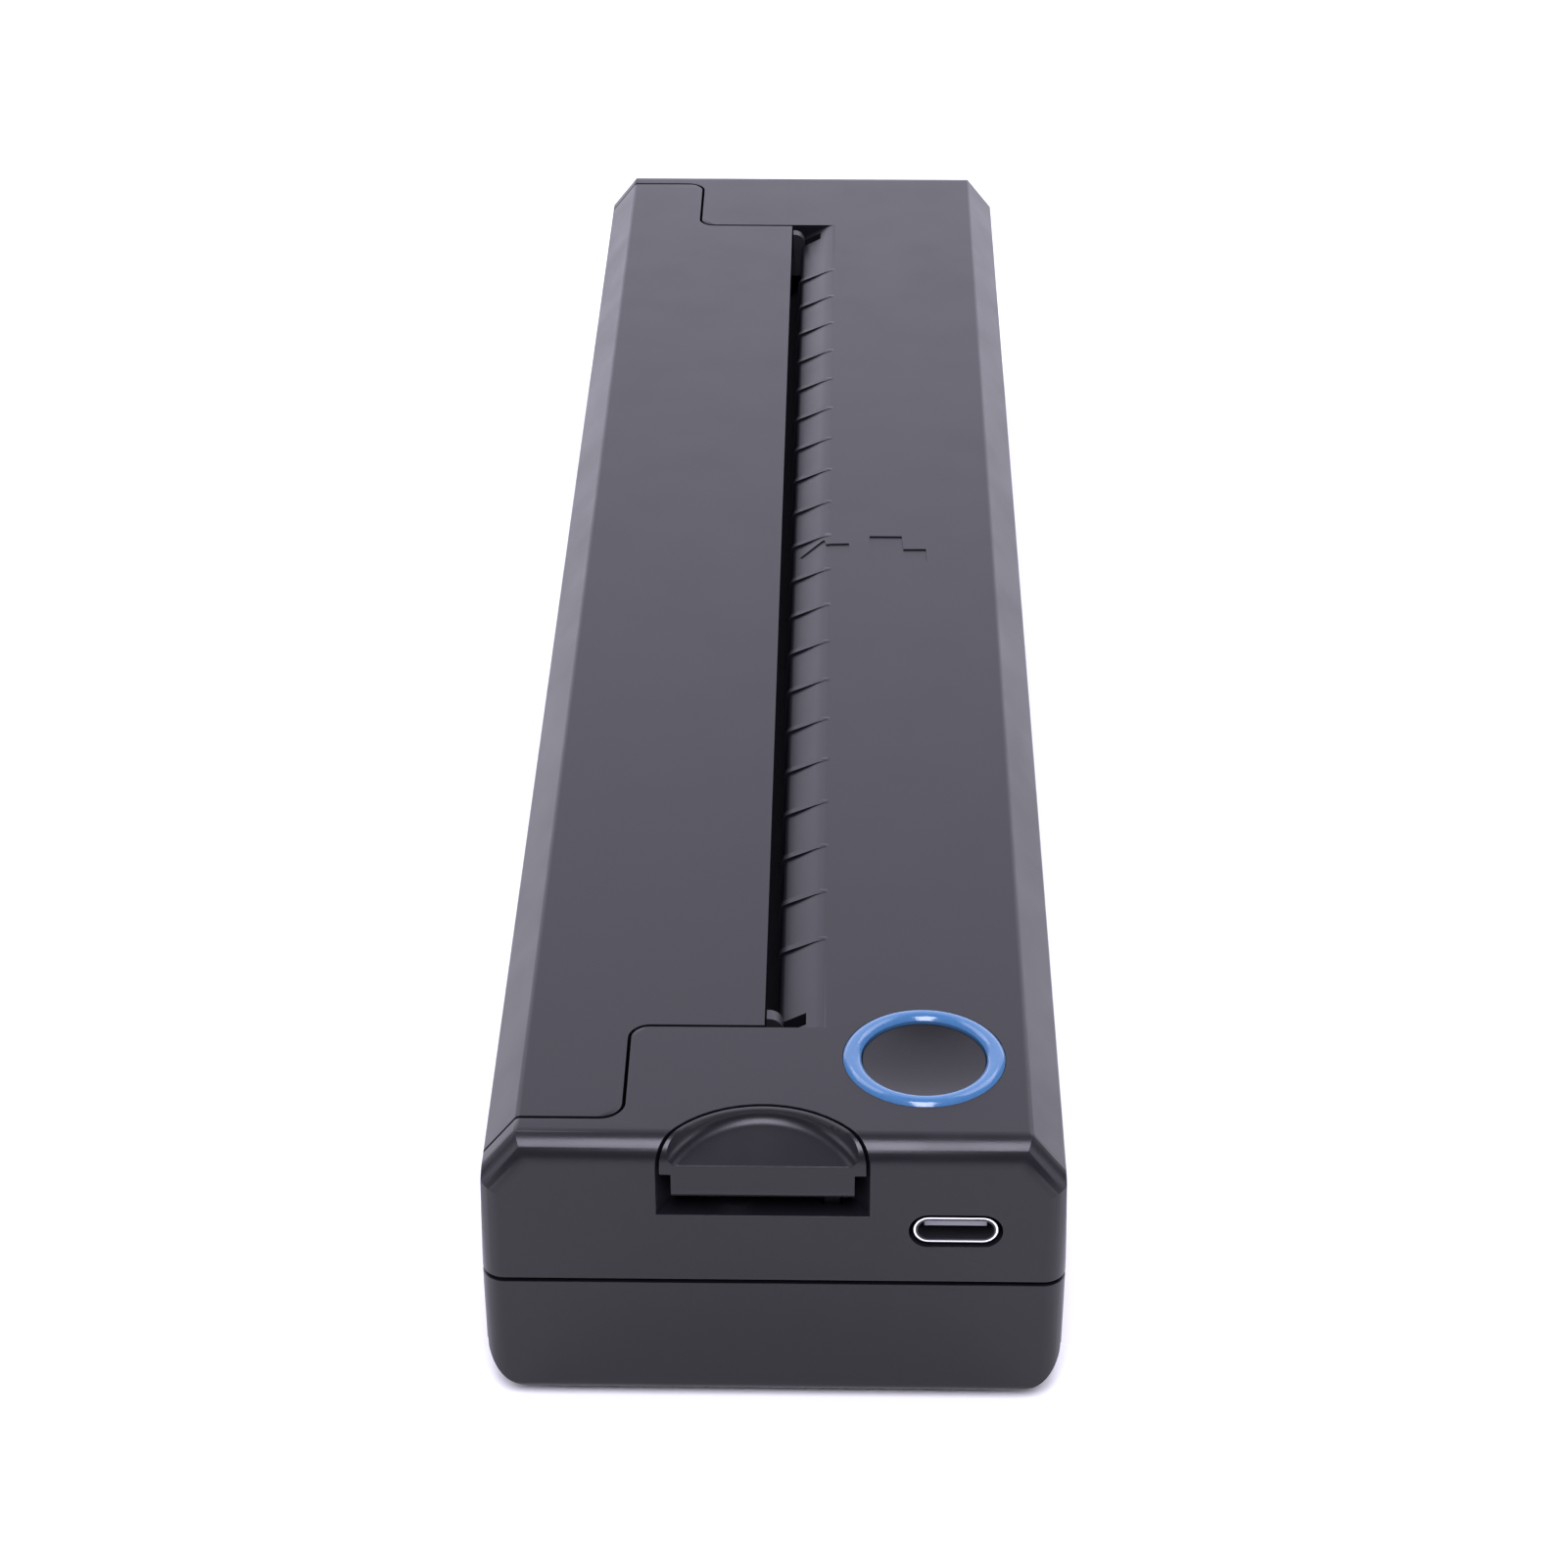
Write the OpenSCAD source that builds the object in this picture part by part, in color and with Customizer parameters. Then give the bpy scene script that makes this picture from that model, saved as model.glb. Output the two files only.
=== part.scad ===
// Portable A4 thermal printer: a long slim case with a hinged cover over the
// platen roller, a ribbed paper slot in the top, a D-shaped release tab and a
// USB-C port in the near end, and a lit power button.
// X runs across the case, Y along it with the near end at -Y, Z up from the
// surface that the rubber feet stand on. Sizes in millimetres.

/* [Case] */
// Length of the case beyond each end of the paper slot
end_l = 21.1; // [20.8:0.1:24]
// Width of the case at the seam
case_w = 62.5; // [60:0.5:66]
// Height of the case without its feet
case_h = 33.7; // [32:0.1:36]
// Height of the upper shell, top to seam
upper_h = 18.2; // [18:0.1:18.4]
// Wall thickness of the mouldings
wall = 2; // [1.6:0.1:2.2]
// Height of the slanted long top edges
chamfer_h = 4.7; // [4:0.1:5.5]
// Width of the slanted long top edges, seen from above
chamfer_w = 3.75; // [3:0.05:4.5]
// Soft radius along both edges of the slanted edges
edge_r = 0.8; // [0.3:0.1:1]
// Lean of the upper walls, seam to chamfer
upper_draft = 0.4; // [0.1:0.05:0.6]
// Lean of the lower walls, seam to floor
lower_draft = 0.2; // [0.1:0.05:0.6]
// Radius of the upright corners
corner_r = 2.5; // [1.5:0.1:4]
// Radius along the top edges of both ends
end_top_r = 2; // [1:0.1:2.4]
// Radius along the bottom edges of both ends
end_bottom_r = 1.2; // [0.8:0.1:2]
// Radius along the long bottom edges
floor_r = 6; // [4:0.25:7]
// Width of the groove at the seam
seam_gap = 0.5; // [0.3:0.05:0.6]
// Height of the tongue that enters the bottom shell
tongue_h = 1.5; // [1:0.1:2]
// Thickness of the tongue
tongue_t = 0.9; // [0.7:0.05:1.1]
// How far the rubber feet stand out of the floor
foot_h = 0.8; // [0.5:0.1:1.5]

/* [Cover] */
// Free edge of the cover, left of the middle of the case
cover_off = 1.3; // [1:0.05:1.6]
// Width of the cover's two ears
ear_w = 15.15; // [15:0.05:15.6]
// Widest paper, with its side play
slot_l = 216.8; // [200:0.1:230]
// Case top left standing beyond each ear
end_cap = 4.9; // [4.5:0.1:5.2]
// Gap round the cover
cover_gap = 0.35; // [0.25:0.05:0.45]
// Radius at the corners of the ears
ear_r = 2.4; // [1.5:0.1:3]
// Radius of the hinge knuckles, also their depth behind the left wall
knuckle_r = 3; // [2.8:0.1:3.2]
// Length of each hinge knuckle
knuckle_l = 5; // [4:0.25:6]
// Diameter of the hinge pins
hinge_pin_d = 2.5; // [2:0.1:3]
// Height of the paper outlet under the left wall of the cover
outlet_h = 2.15; // [1.8:0.05:2.6]
// Depth of the stiffening rims under the cover
rim_h = 2.2; // [1.5:0.1:2.5]
// Thickness of the stiffening rims
rim_t = 1.3; // [1:0.1:1.4]

/* [Paper slot] */
// Open width of the slot between cover and ramp
slot_gap = 1.5; // [1.3:0.1:1.8]
// Width of the ramp that leads the paper in
ramp_w = 5.3; // [5:0.1:6]
// Slope of the ramp
ramp_lean = 27; // [22:1:32]
// Radius where the ramp leaves the top
ramp_top_r = 4; // [3:0.1:4.5]
// Radius where the ramp turns down into the slot
ramp_end_r = 1; // [0.6:0.1:1.4]
// Thickness of the ramp and of its skirt
ramp_t = 2; // [1.6:0.1:2.2]
// Lowest edge of the ramp's skirt, below the top
skirt_drop = 8.1; // [7.2:0.1:8.2]
// Number of ribs on the ramp
rib_count = 20; // [10:1:22]
// Distance from rib to rib
rib_pitch = 9.6; // [8.8:0.1:9.6]
// Width of a rib
rib_w = 0.9; // [0.6:0.1:1.2]
// Height of a rib on the ramp
rib_h = 0.35; // [0.25:0.05:0.6]
// Width of the notch in the ramp for each latch lug
notch_w = 2.2; // [2.1:0.05:2.4]
// Reach of each notch into the ramp
notch_reach = 3; // [2.8:0.1:3.4]
// Distance of each notch from the end of the slot
notch_inset = 1.5; // [1.3:0.1:2]
// Radius of the curved paper guide below the slot
guide_r = 5.1; // [4.8:0.1:5.3]
// Thickness of the paper guide
guide_t = 1.2; // [1:0.1:1.3]
// Flat of the paper guide, below the top
guide_drop = 13.5; // [13.3:0.05:13.6]
// Clear height of the paper path
path_h = 1.7; // [1.5:0.1:2]

/* [Platen and head] */
// Axis of the platen roller, right of the hinge
platen_dx = 6.25; // [6.2:0.05:6.4]
// Axis of the platen roller, below the top
platen_drop = 9.7; // [9.6:0.05:9.8]
// Diameter of the platen roller
platen_d = 10; // [9.6:0.1:10]
// Diameter of the platen's steel core
core_d = 6; // [5:0.25:7]
// Diameter of the platen's journals
journal_d = 4; // [3.5:0.1:4.5]
// Diameter of the platen's bushings
bushing_d = 7; // [6.6:0.1:7.2]
// Gap left for the paper between platen and head
nip = 0.2; // [0.15:0.05:0.35]
// Width of the print head's board and heat sink
head_w = 12.5; // [12:0.25:12.5]
// Thickness of the head's board
head_board_t = 1; // [0.8:0.1:1.2]
// Thickness of the heat sink under the board
sink_t = 2.2; // [1.8:0.1:2.4]
// Heater line, measured from the board's left edge
heater_inset = 4.5; // [4.3:0.1:4.5]
// Width of the chip cover on the board
chip_cover_w = 4; // [3:0.1:4.2]
// Height of the chip cover
chip_cover_h = 1.4; // [1:0.1:1.45]
// Diameter of the head's pivot pins
pivot_d = 1.5; // [1.2:0.1:1.8]

/* [Gears] */
// Tooth module of the whole train
tooth_m = 0.5; // [0.5:0.05:0.5]
// Teeth of the platen gear
platen_teeth = 16; // [14:2:18]
// Teeth of the first idler's small gear
idler1_small = 16; // [14:2:18]
// Teeth of the first idler's large gear
idler1_large = 24; // [22:2:26]
// Teeth of the second idler's small gear
idler2_small = 12; // [12:2:14]
// Teeth of the second idler's large gear
idler2_large = 20; // [18:2:22]
// Teeth of the motor pinion
pinion_teeth = 12; // [12:2:14]
// Face width of the gears
gear_w = 2.1; // [1.8:0.1:2.2]
// Gap between the gear planes
gear_gap = 0.4; // [0.3:0.05:0.5]
// Play cut from each tooth flank
backlash = 0.06; // [0.04:0.01:0.1]
// Axis of the second idler above the inside of the floor
idler2_h = 8.8; // [8.6:0.1:9.2]
// Motor can diameter
motor_d = 14; // [13:0.5:14]
// Motor can length
motor_l = 16; // [12:0.5:16]
// Gap under the motor
motor_gap = 0.2; // [0.1:0.1:0.6]

/* [Release latch] */
// Width of the release tab
tab_w = 21.9; // [20:0.1:22.5]
// Radius of the tab's round back
tab_r = 12; // [11.5:0.1:12.5]
// Reach of the tab from the near end
tab_reach = 6.9; // [6.5:0.1:7.4]
// Gap round the tab
tab_gap = 0.4; // [0.3:0.05:0.5]
// Middle of the tab, right of the cover's free edge
tab_dx = 0.2; // [0:0.1:0.5]
// Thickness of the tab's flange
flange_t = 3.85; // [3.6:0.05:4.1]
// Floor of the tab's pocket, below the top
pocket_drop = 9.2; // [8.9:0.1:9.4]
// Inset of the tab's front lip at each side
lip_inset = 1.3; // [1:0.1:1.6]
// Depth of the thumb dish at the near end
dish_depth = 2.65; // [2.4:0.05:2.9]
// Rise of the dish floor to its back
dish_rise = 1.3; // [1:0.1:1.5]
// Thickness of the rim round the dish
dish_rim = 0.6; // [0.5:0.1:0.9]
// Thickness of the tab beside the dish
dish_side = 0.95; // [0.7:0.05:1.1]
// Radius of the hollow round the dish floor
dish_hollow_r = 1.5; // [1:0.1:1.6]
// How far the tab is pressed
tab_travel = 1.6; // [1.4:0.05:1.6]
// Diameter of the latch shaft
latch_d = 3.4; // [3:0.1:3.6]
// Height of the latch shaft
latch_z = 18; // [17.8:0.1:18.2]
// Axis of the latch shaft, right of the ramp face
latch_dx = 1.3; // [1.2:0.1:1.5]
// Arm of the lever under the tab
lever_r = 4.7; // [4.6:0.05:4.8]
// Underside of the latch nose, below the top
nose_drop = 5.6; // [5.4:0.1:5.8]
// Gap left between the latch nose and its keeper
latch_clear = 0.2; // [0.15:0.05:0.3]

/* [Power button and port] */
// Middle of the button, from the right wall
button_dx = 15.25; // [15:0.05:15.5]
// Middle of the button, from the near end
button_dy = 15.8; // [15.5:0.1:16.2]
// Outer diameter of the light ring
ring_d = 17.5; // [17:0.1:18]
// Bore of the light ring
ring_bore_d = 13.6; // [13.4:0.1:13.8]
// Height of the light ring above the top
ring_proud = 0.45; // [0.3:0.05:0.7]
// Gap between the button cap and the ring
cap_gap = 0.15; // [0.1:0.05:0.2]
// Depth of the cap's rim below the top
cap_sink = 0.35; // [0.2:0.05:0.6]
// How far the cap is pressed
cap_travel = 0.5; // [0.3:0.05:0.5]
// Middle of the USB-C port, from the right wall
port_dx = 11.95; // [11.8:0.05:12.1]
// Middle of the port, below the top
port_drop = 11.1; // [11:0.1:11.3]
// Width of the port's shell
port_w = 8.94; // [8.94:0.01:8.94]
// Height of the port's shell
port_h = 3.26; // [3.26:0.01:3.26]
// Clear width round the port in the case
port_gap = 0.5; // [0.3:0.05:0.6]

/* [Inside] */
// Length of a battery cell
cell_l = 65; // [60:1:66]
// Circuit board thickness
pcb_t = 1.2; // [1:0.1:1.6]
// Shank diameter of the case screws
screw_d = 2.4; // [2:0.1:2.6]
// Head diameter of the case screws
screw_head_d = 4.2; // [4:0.1:4.5]
// Length of a rubber foot
foot_l = 16; // [12:1:18]
// Width of a rubber foot
foot_w = 7; // [5:0.5:9]

/* [Hidden] */
$fn = 64;
eps = 0.01;
far = 200;

case_l = slot_l + 2 * end_l;
half_l = case_l / 2;
half_w = case_w / 2;
upper_half = half_w - upper_draft;
floor_half = half_w - lower_draft;
top_half = upper_half - chamfer_w;
chamfer_z = case_h - chamfer_h;
chamfer_slope = atan2(chamfer_h, chamfer_w);
roof_z = case_h - wall;
seam_z = case_h - upper_h;
wall_facing = 90 - atan2(upper_draft, chamfer_z - seam_z);
seam_low = seam_z - seam_gap / 2;
seam_high = seam_z + seam_gap / 2;
run_clear = 0.05;

hinge_x = -half_w + knuckle_r;
hinge_z = seam_high + knuckle_r;
cover_x = -cover_off;
ear_x = -half_w + ear_w;
ear_y = half_l - end_cap;
slot_y = slot_l / 2;
ramp_x = cover_x + slot_gap;
ramp_cx = ramp_x + ramp_w;
ramp_brow_x = ramp_cx - ramp_top_r * tan(ramp_lean / 2);
ramp_foot_z = case_h - (ramp_brow_x - ramp_x) * tan(ramp_lean);
skirt_z = case_h - skirt_drop;
guide_z = case_h - guide_drop;
outlet_z = seam_high + outlet_h;
notch_y = slot_y - notch_inset - notch_w / 2;
lug_t = notch_w - 0.5;

platen_x = hinge_x + platen_dx;
platen_z = case_h - platen_drop;
nip_z = platen_z - platen_d / 2 - nip;
head_x0 = platen_x - heater_inset;
head_x1 = head_x0 + head_w;
head_l = slot_l - 2;
board_z = nip_z - head_board_t;
sink_z = board_z - sink_t;
pivot_x = head_x1 - 0.6;
pivot_z = sink_z + 1.1;
spring_x = platen_x;
spring_seat_z = sink_z - 6.6;
web_x = head_x1 + 1.6;
web_t = 1.2;
plate_y = slot_y + 2;
plate_t = 1.2;
guide_cx = ramp_x - guide_r;
guide_cz = guide_z + guide_r;

// Gear train. The first idler stands where the cover's opening draws the
// platen gear straight out of mesh.
function pitch_r(teeth) = tooth_m * teeth / 2;
gear_gap_r = 0.02;
hinge_to_platen = norm([platen_dx, platen_z - hinge_z]);
train_dir = atan2(platen_z - hinge_z, platen_dx) - acos(-pitch_r(platen_teeth) / hinge_to_platen);
mesh1 = pitch_r(platen_teeth) + pitch_r(idler1_small) + gear_gap_r;
mesh2 = pitch_r(idler1_large) + pitch_r(idler2_small) + gear_gap_r;
mesh3 = pitch_r(idler2_large) + pitch_r(pinion_teeth) + gear_gap_r;
idler1_x = platen_x + mesh1 * cos(train_dir);
idler1_z = platen_z + mesh1 * sin(train_dir);
idler2_z = wall + idler2_h;
idler2_dir = asin((idler2_z - idler1_z) / mesh2);
idler2_x = idler1_x + mesh2 * cos(idler2_dir);
motor_z = wall + motor_gap + motor_d / 2;
pinion_dir = asin((motor_z - idler2_z) / mesh3);
motor_x = idler2_x + mesh3 * cos(pinion_dir);
plane_a = plate_y + plate_t + 0.6;
plane_b = plane_a + gear_w + gear_gap;
plane_c = plane_b + gear_w + gear_gap;

tab_x = cover_x + tab_dx;
tab_cy = -half_l + tab_reach - tab_r;
flange_z = case_h - flange_t;
pocket_z = case_h - pocket_drop;
lip_z = pocket_z + tab_travel + 0.1;
dish_z = case_h - dish_depth;
dish_tilt = atan2(dish_rise, tab_reach - 1.6);
dish_wall_lean = 70;
dish_back = (tab_reach - dish_rim) * cos(dish_tilt) + dish_depth * sin(dish_tilt);
dish_back_h = dish_depth * cos(dish_tilt) - (tab_reach - dish_rim) * sin(dish_tilt);
dish_cy = dish_back - (tab_r - dish_rim);
latch_x = ramp_x + latch_dx;
lever_x = latch_x + lever_r;
lever_y0 = -half_l + wall + 0.3;
lever_y1 = lever_y0 + 4.8;
foot_y = lever_y0 + 0.75;
lever_z = latch_z + 1.2;
nose_z = case_h - nose_drop;
keeper_x = ramp_x + 1.5;

button_x = half_w - button_dx;
button_y = -half_l + button_dy;
port_x = half_w - port_dx;
port_z = case_h - port_drop;
io_top = port_z - port_h / 2;
io_x0 = port_x - port_w / 2 - 2.6;
io_x1 = port_x + port_w / 2 + 0.5;
io_y0 = -half_l + wall + 0.6;
io_l = 22.5;
switch_h = 3.5;

mid_post_x = latch_x + 4.6;
cell_x0 = mid_post_x + 3.65;
cell_d = half_w - wall - 1.1 - cell_x0;
cell_x = cell_x0 + cell_d / 2;
cell_z = wall + 1.2 + cell_d / 2;
cell_y0 = -half_l + 34.5;
cell_space = 1;
cells_end = cell_y0 + 2 * cell_l + cell_space;
main_x0 = latch_x + 6.05;
main_w = half_w - wall - 0.7 - main_x0;
main_y0 = cells_end + 15;
main_l = half_l - 20.5 - main_y0;
main_z = 8;

post_r = 2.2;
post_foot_z = 6;
right_post_x = half_w - 10.25;
post_y_mid = cells_end + 6.5;
post_y_far = half_l - 6;
post_places = [
    [right_post_x, cell_y0 - 6.8], [right_post_x, post_y_mid], [right_post_x, post_y_far],
    [mid_post_x, cell_y0 + 5], [mid_post_x, post_y_mid], [mid_post_x, post_y_far]
];

/* ---------- shared shapes ---------- */

// Everything is drawn from the case floor and stands on its feet.
module on_feet() translate([0, 0, foot_h]) children();

module along_x(l) rotate([90, 0, 90]) linear_extrude(l, center = true) children();
module along_y(l) rotate([90, 0, 0]) linear_extrude(l, center = true) children();
module rod_y(r, y0, y1) translate([0, y1, 0]) rotate([90, 0, 0]) cylinder(r = r, h = y1 - y0);
module rod_at(x, z, r, y0, y1) translate([x, 0, z]) rod_y(r, y0, y1);
module box(x0, x1, y0, y1, z0, z1) translate([x0, y0, z0]) cube([x1 - x0, y1 - y0, z1 - z0]);
module both_ends() {
    children();
    mirror([0, 1, 0]) children();
}

// Waste at a corner whose material lies at -x and -y.
module corner_cut(r) difference() {
    translate([-r, -r]) square(r + 1);
    translate([-r, -r]) circle(r);
}

// Waste outside a corner at the origin whose faces look a0 and a1 from upright.
module soft_corner(a0, a1, r) {
    half_turn = abs(a1 - a0) / 2;
    middle = [sin((a0 + a1) / 2), cos((a0 + a1) / 2)];
    translate(-r / cos(half_turn) * middle) difference() {
        polygon([
            [0, 0],
            (r + 1) * [sin(a0), cos(a0)],
            (r / cos(half_turn) + 2) * middle,
            (r + 1) * [sin(a1), cos(a1)]
        ]);
        circle(r);
    }
}

module half_section(inset) difference() {
    polygon([
        [-eps, inset],
        [floor_half - inset, inset],
        [half_w - inset, seam_z],
        [upper_half - inset, chamfer_z - inset * tan((90 - chamfer_slope) / 2)],
        [top_half - inset * tan(chamfer_slope / 2), case_h - inset],
        [-eps, case_h - inset]
    ]);
    translate([floor_half - inset, inset]) mirror([0, 1]) corner_cut(floor_r - inset);
    if (inset < edge_r) {
        translate([top_half, case_h]) soft_corner(0, chamfer_slope, edge_r);
        translate([upper_half, chamfer_z]) soft_corner(chamfer_slope, wall_facing, edge_r);
    }
}

module end_section(inset = 0) {
    half_section(inset);
    mirror([1, 0]) half_section(inset);
}

module side_outline(depth, bottom_r) difference() {
    translate([-half_l, -depth]) square([case_l, depth]);
    for (s = [0, 1]) mirror([s, 0]) {
        translate([half_l, 0]) corner_cut(end_top_r);
        if (bottom_r > 0) translate([half_l, -depth]) mirror([0, 1]) corner_cut(bottom_r);
    }
}

module plan_outline() difference() {
    square([case_w, case_l], center = true);
    for (sx = [0, 1], sy = [0, 1]) mirror([sx, 0]) mirror([0, sy])
        translate([half_w, half_l]) corner_cut(corner_r);
}

module case_body() intersection() {
    along_y(case_l) end_section();
    linear_extrude(case_h) plan_outline();
    translate([0, 0, case_h]) along_x(case_w) side_outline(case_h, end_bottom_r);
    for (s = [0, 1]) mirror([s, 0, 0]) translate([top_half, 0, case_h])
        rotate([0, chamfer_slope, 0]) along_x(2 * far) side_outline(2 * far, 0);
}

module case_cavity(inset = wall) along_y(case_l - 2 * inset) end_section(inset);

// Plan of the cover; grow widens it into the opening of the case.
module cover_plan(grow) {
    difference() {
        translate([-far, -ear_y - grow]) square([far + ear_x + grow, 2 * (ear_y + grow)]);
        for (s = [0, 1]) mirror([0, s]) translate([ear_x + grow, ear_y + grow]) corner_cut(ear_r + grow);
    }
    inner_y = slot_y - cover_gap + grow;
    translate([-far, -inner_y]) square([far + cover_x, 2 * inner_y]);
    for (s = [0, 1]) mirror([0, s]) translate([ear_x + grow, inner_y]) difference() {
        translate([-1, -1]) square(ear_r - grow + 1);
        translate([ear_r - grow, ear_r - grow]) circle(ear_r - grow);
    }
}

module tab_plan(grow) intersection() {
    translate([tab_x, tab_cy]) circle(tab_r + grow, $fn = 128);
    translate([tab_x - tab_w / 2 - grow, -half_l - 5]) square([tab_w + 2 * grow, 30]);
}

module oblong(w, h) {
    square([w - h, h], center = true);
    for (s = [-1, 1]) translate([s * (w - h) / 2, 0]) circle(h / 2);
}

// Compression spring standing on z = 0: one unbroken round wire.
module coil_spring(coil_r, wire_r, turns, height) {
    sides = 6;
    steps = 12;
    rings = turns * steps;
    function centre(i) = [
        coil_r * cos(i * 360 / steps),
        coil_r * sin(i * 360 / steps),
        wire_r + (height - 2 * wire_r) * i / rings
    ];
    points = [
        for (i = [0 : rings], k = [0 : sides - 1])
            let (a = i * 360 / steps, b = k * 360 / sides)
            centre(i) + wire_r * [cos(b) * cos(a), cos(b) * sin(a), sin(b)]
    ];
    walls = [
        for (i = [0 : rings - 1], k = [0 : sides - 1])
            let (p = i * sides + k, q = i * sides + (k + 1) % sides)
            [p, p + sides, q + sides, q]
    ];
    first = [for (k = [0 : sides - 1]) k];
    last = [for (k = [sides - 1 : -1 : 0]) rings * sides + k];
    polyhedron(points, concat(walls, [first, last]), convexity = 10);
}

// Spur gear with involute flanks, in the XZ plane between y0 and y0 + gear_w.
function involute(base_r, a) = base_r * [cos(a) + a * PI / 180 * sin(a), sin(a) - a * PI / 180 * cos(a)];
function turn(p, a) = [p[0] * cos(a) - p[1] * sin(a), p[0] * sin(a) + p[1] * cos(a)];
function roll_at(base_r, r) = sqrt(max(0, (r / base_r) * (r / base_r) - 1)) * 180 / PI;

module gear_outline(teeth) {
    pressure = 20;
    r = pitch_r(teeth);
    base_r = r * cos(pressure);
    tip_r = r + tooth_m * 0.95;
    root_r = r - tooth_m * 1.2;
    roll_pitch = roll_at(base_r, r);
    thick_half = 90 / teeth - backlash / r * 180 / PI;
    flank_turn = thick_half + roll_pitch - atan(roll_pitch * PI / 180);
    flank_steps = 4;
    roll_low = roll_at(base_r, max(base_r, root_r));
    roll_tip = roll_at(base_r, tip_r);
    flank = [
        for (i = [0 : flank_steps])
            turn(involute(base_r, roll_low + (roll_tip - roll_low) * i / flank_steps), -flank_turn)
    ];
    root_turn = atan2(flank[0][1], flank[0][0]);
    tooth = concat(
        [turn([root_r, 0], root_turn)],
        flank,
        [for (i = [flank_steps : -1 : 0]) [flank[i][0], -flank[i][1]]],
        [turn([root_r, 0], -root_turn)]
    );
    polygon([for (t = [0 : teeth - 1], p = tooth) turn(p, t * 360 / teeth)]);
}

// phase turns the gear so that its first tooth points that way, in degrees.
module gear(x, z, teeth, y0, phase) translate([x, y0 + gear_w, z]) rotate([90, 0, 0])
    linear_extrude(gear_w) rotate(phase) gear_outline(teeth);

// Phase of a gear that meshes with another lying in direction dir from it.
function mesh_phase(teeth, other_teeth, other_phase, dir) =
    dir + 180 - 180 / teeth - (other_phase - dir) * other_teeth / teeth;

platen_phase = train_dir;
idler1_small_phase = mesh_phase(idler1_small, platen_teeth, platen_phase, train_dir);
idler1_large_phase = idler2_dir;
idler2_small_phase = mesh_phase(idler2_small, idler1_large, idler1_large_phase, idler2_dir);
idler2_large_phase = pinion_dir;
pinion_phase = mesh_phase(pinion_teeth, idler2_large, idler2_large_phase, pinion_dir);

/* ---------- case ---------- */

shell_grey = [0.27, 0.26, 0.29];
inner_grey = [0.16, 0.16, 0.17];
steel = [0.75, 0.76, 0.78];
ledge_z = seam_low - tongue_h;
lip_fit = 0.1;
boss_r = 3.2;
foot_seat = 0.6;
foot_places = [for (x = [-1, 1], y = [-1, 1]) [x * (half_w - 12.25), y * (half_l - 16.5)]];
spring_ys = [for (k = [-1.5, -0.5, 0.5, 1.5]) k * head_l / 4];
frame_foot_z = 5;
frame_screw_x = web_x + 4.4;
frame_screw_ys = [-slot_y + 13.4, 0, slot_y - 26.4];
io_posts = [[io_x0 + 2.2, io_y0 + 2.4], [io_x0 + 2.2, io_y0 + io_l - 2.4], [io_x1 - 2.2, io_y0 + io_l - 2.4]];
main_posts = [for (x = [main_x0 + 3, main_x0 + main_w - 3], y = [main_y0 + 3, main_y0 + main_l - 3]) [x, y]];
latch_spring_z = lever_z - 9.2;
latch_spring_y = lever_y1 - 2.4;
io_bottom = io_top - pcb_t;
cradle_ys = [cell_y0 + 12, cell_y0 + cell_l - 12, cells_end - cell_l + 12, cells_end - 12];

module tongue_zone(z0, z1, fit) intersection() {
    case_cavity(wall - tongue_t + fit);
    box(-half_w + wall + fit, far, -far, far, z0, z1);
}

module cell_cradle() difference() {
    union() {
        for (y = cradle_ys) box(cell_x - 9, cell_x + 8.6, y - 0.8, y + 0.8, 1, cell_z - 3);
        for (y = [cell_y0 - 2.1, cells_end + 0.6]) box(cell_x - 8, cell_x + 8, y, y + 1.5, 1, cell_z + 5);
    }
    rod_at(cell_x, cell_z, cell_d / 2 + 0.1, cell_y0 - 0.5, cells_end + 0.5);
}

module floor_posts() {
    for (p = post_places) translate([p[0], p[1], 0]) cylinder(r = boss_r, h = post_foot_z);
    for (p = io_posts) translate([p[0], p[1], 1]) cylinder(r = 1.8, h = io_bottom - 1);
    for (p = main_posts) translate([p[0], p[1], 1]) cylinder(r = 2, h = main_z - 1);
    for (y = spring_ys) translate([spring_x, y, 1]) cylinder(r = 3.4, h = spring_seat_z - 1);
    for (y = frame_screw_ys) translate([frame_screw_x, y, 1]) cylinder(r = 2.6, h = frame_foot_z - 1);
    translate([lever_x, latch_spring_y, 1]) cylinder(r = 2.4, h = latch_spring_z - 1);
}

module bottom_shell() color(shell_grey) on_feet() difference() {
    intersection() {
        case_body();
        union() {
            difference() {
                box(-far, far, -far, far, -1, seam_low);
                case_cavity();
                tongue_zone(ledge_z, seam_low + 1, 0);
            }
            cell_cradle();
            floor_posts();
        }
    }
    for (p = post_places) translate([p[0], p[1], 0]) {
        translate([0, 0, -1]) cylinder(r = screw_d / 2 + 0.2, h = post_foot_z + 2);
        translate([0, 0, -1]) cylinder(r = screw_head_d / 2 + 0.3, h = 3.6);
    }
    for (p = concat(io_posts, main_posts)) translate([p[0], p[1], 3]) cylinder(r = 0.8, h = io_top);
    for (y = frame_screw_ys) translate([frame_screw_x, y, 1]) cylinder(r = 1, h = frame_foot_z);
    for (p = foot_places) translate([p[0], p[1], -1]) linear_extrude(1 + foot_seat)
        rotate(90) oblong(foot_l + 0.3, foot_w + 0.3);
}

module rubber_feet() color([0.1, 0.1, 0.1]) for (p = foot_places) translate([p[0], p[1], 0])
    linear_extrude(foot_h + foot_seat) rotate(90) oblong(foot_l, foot_w);

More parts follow.
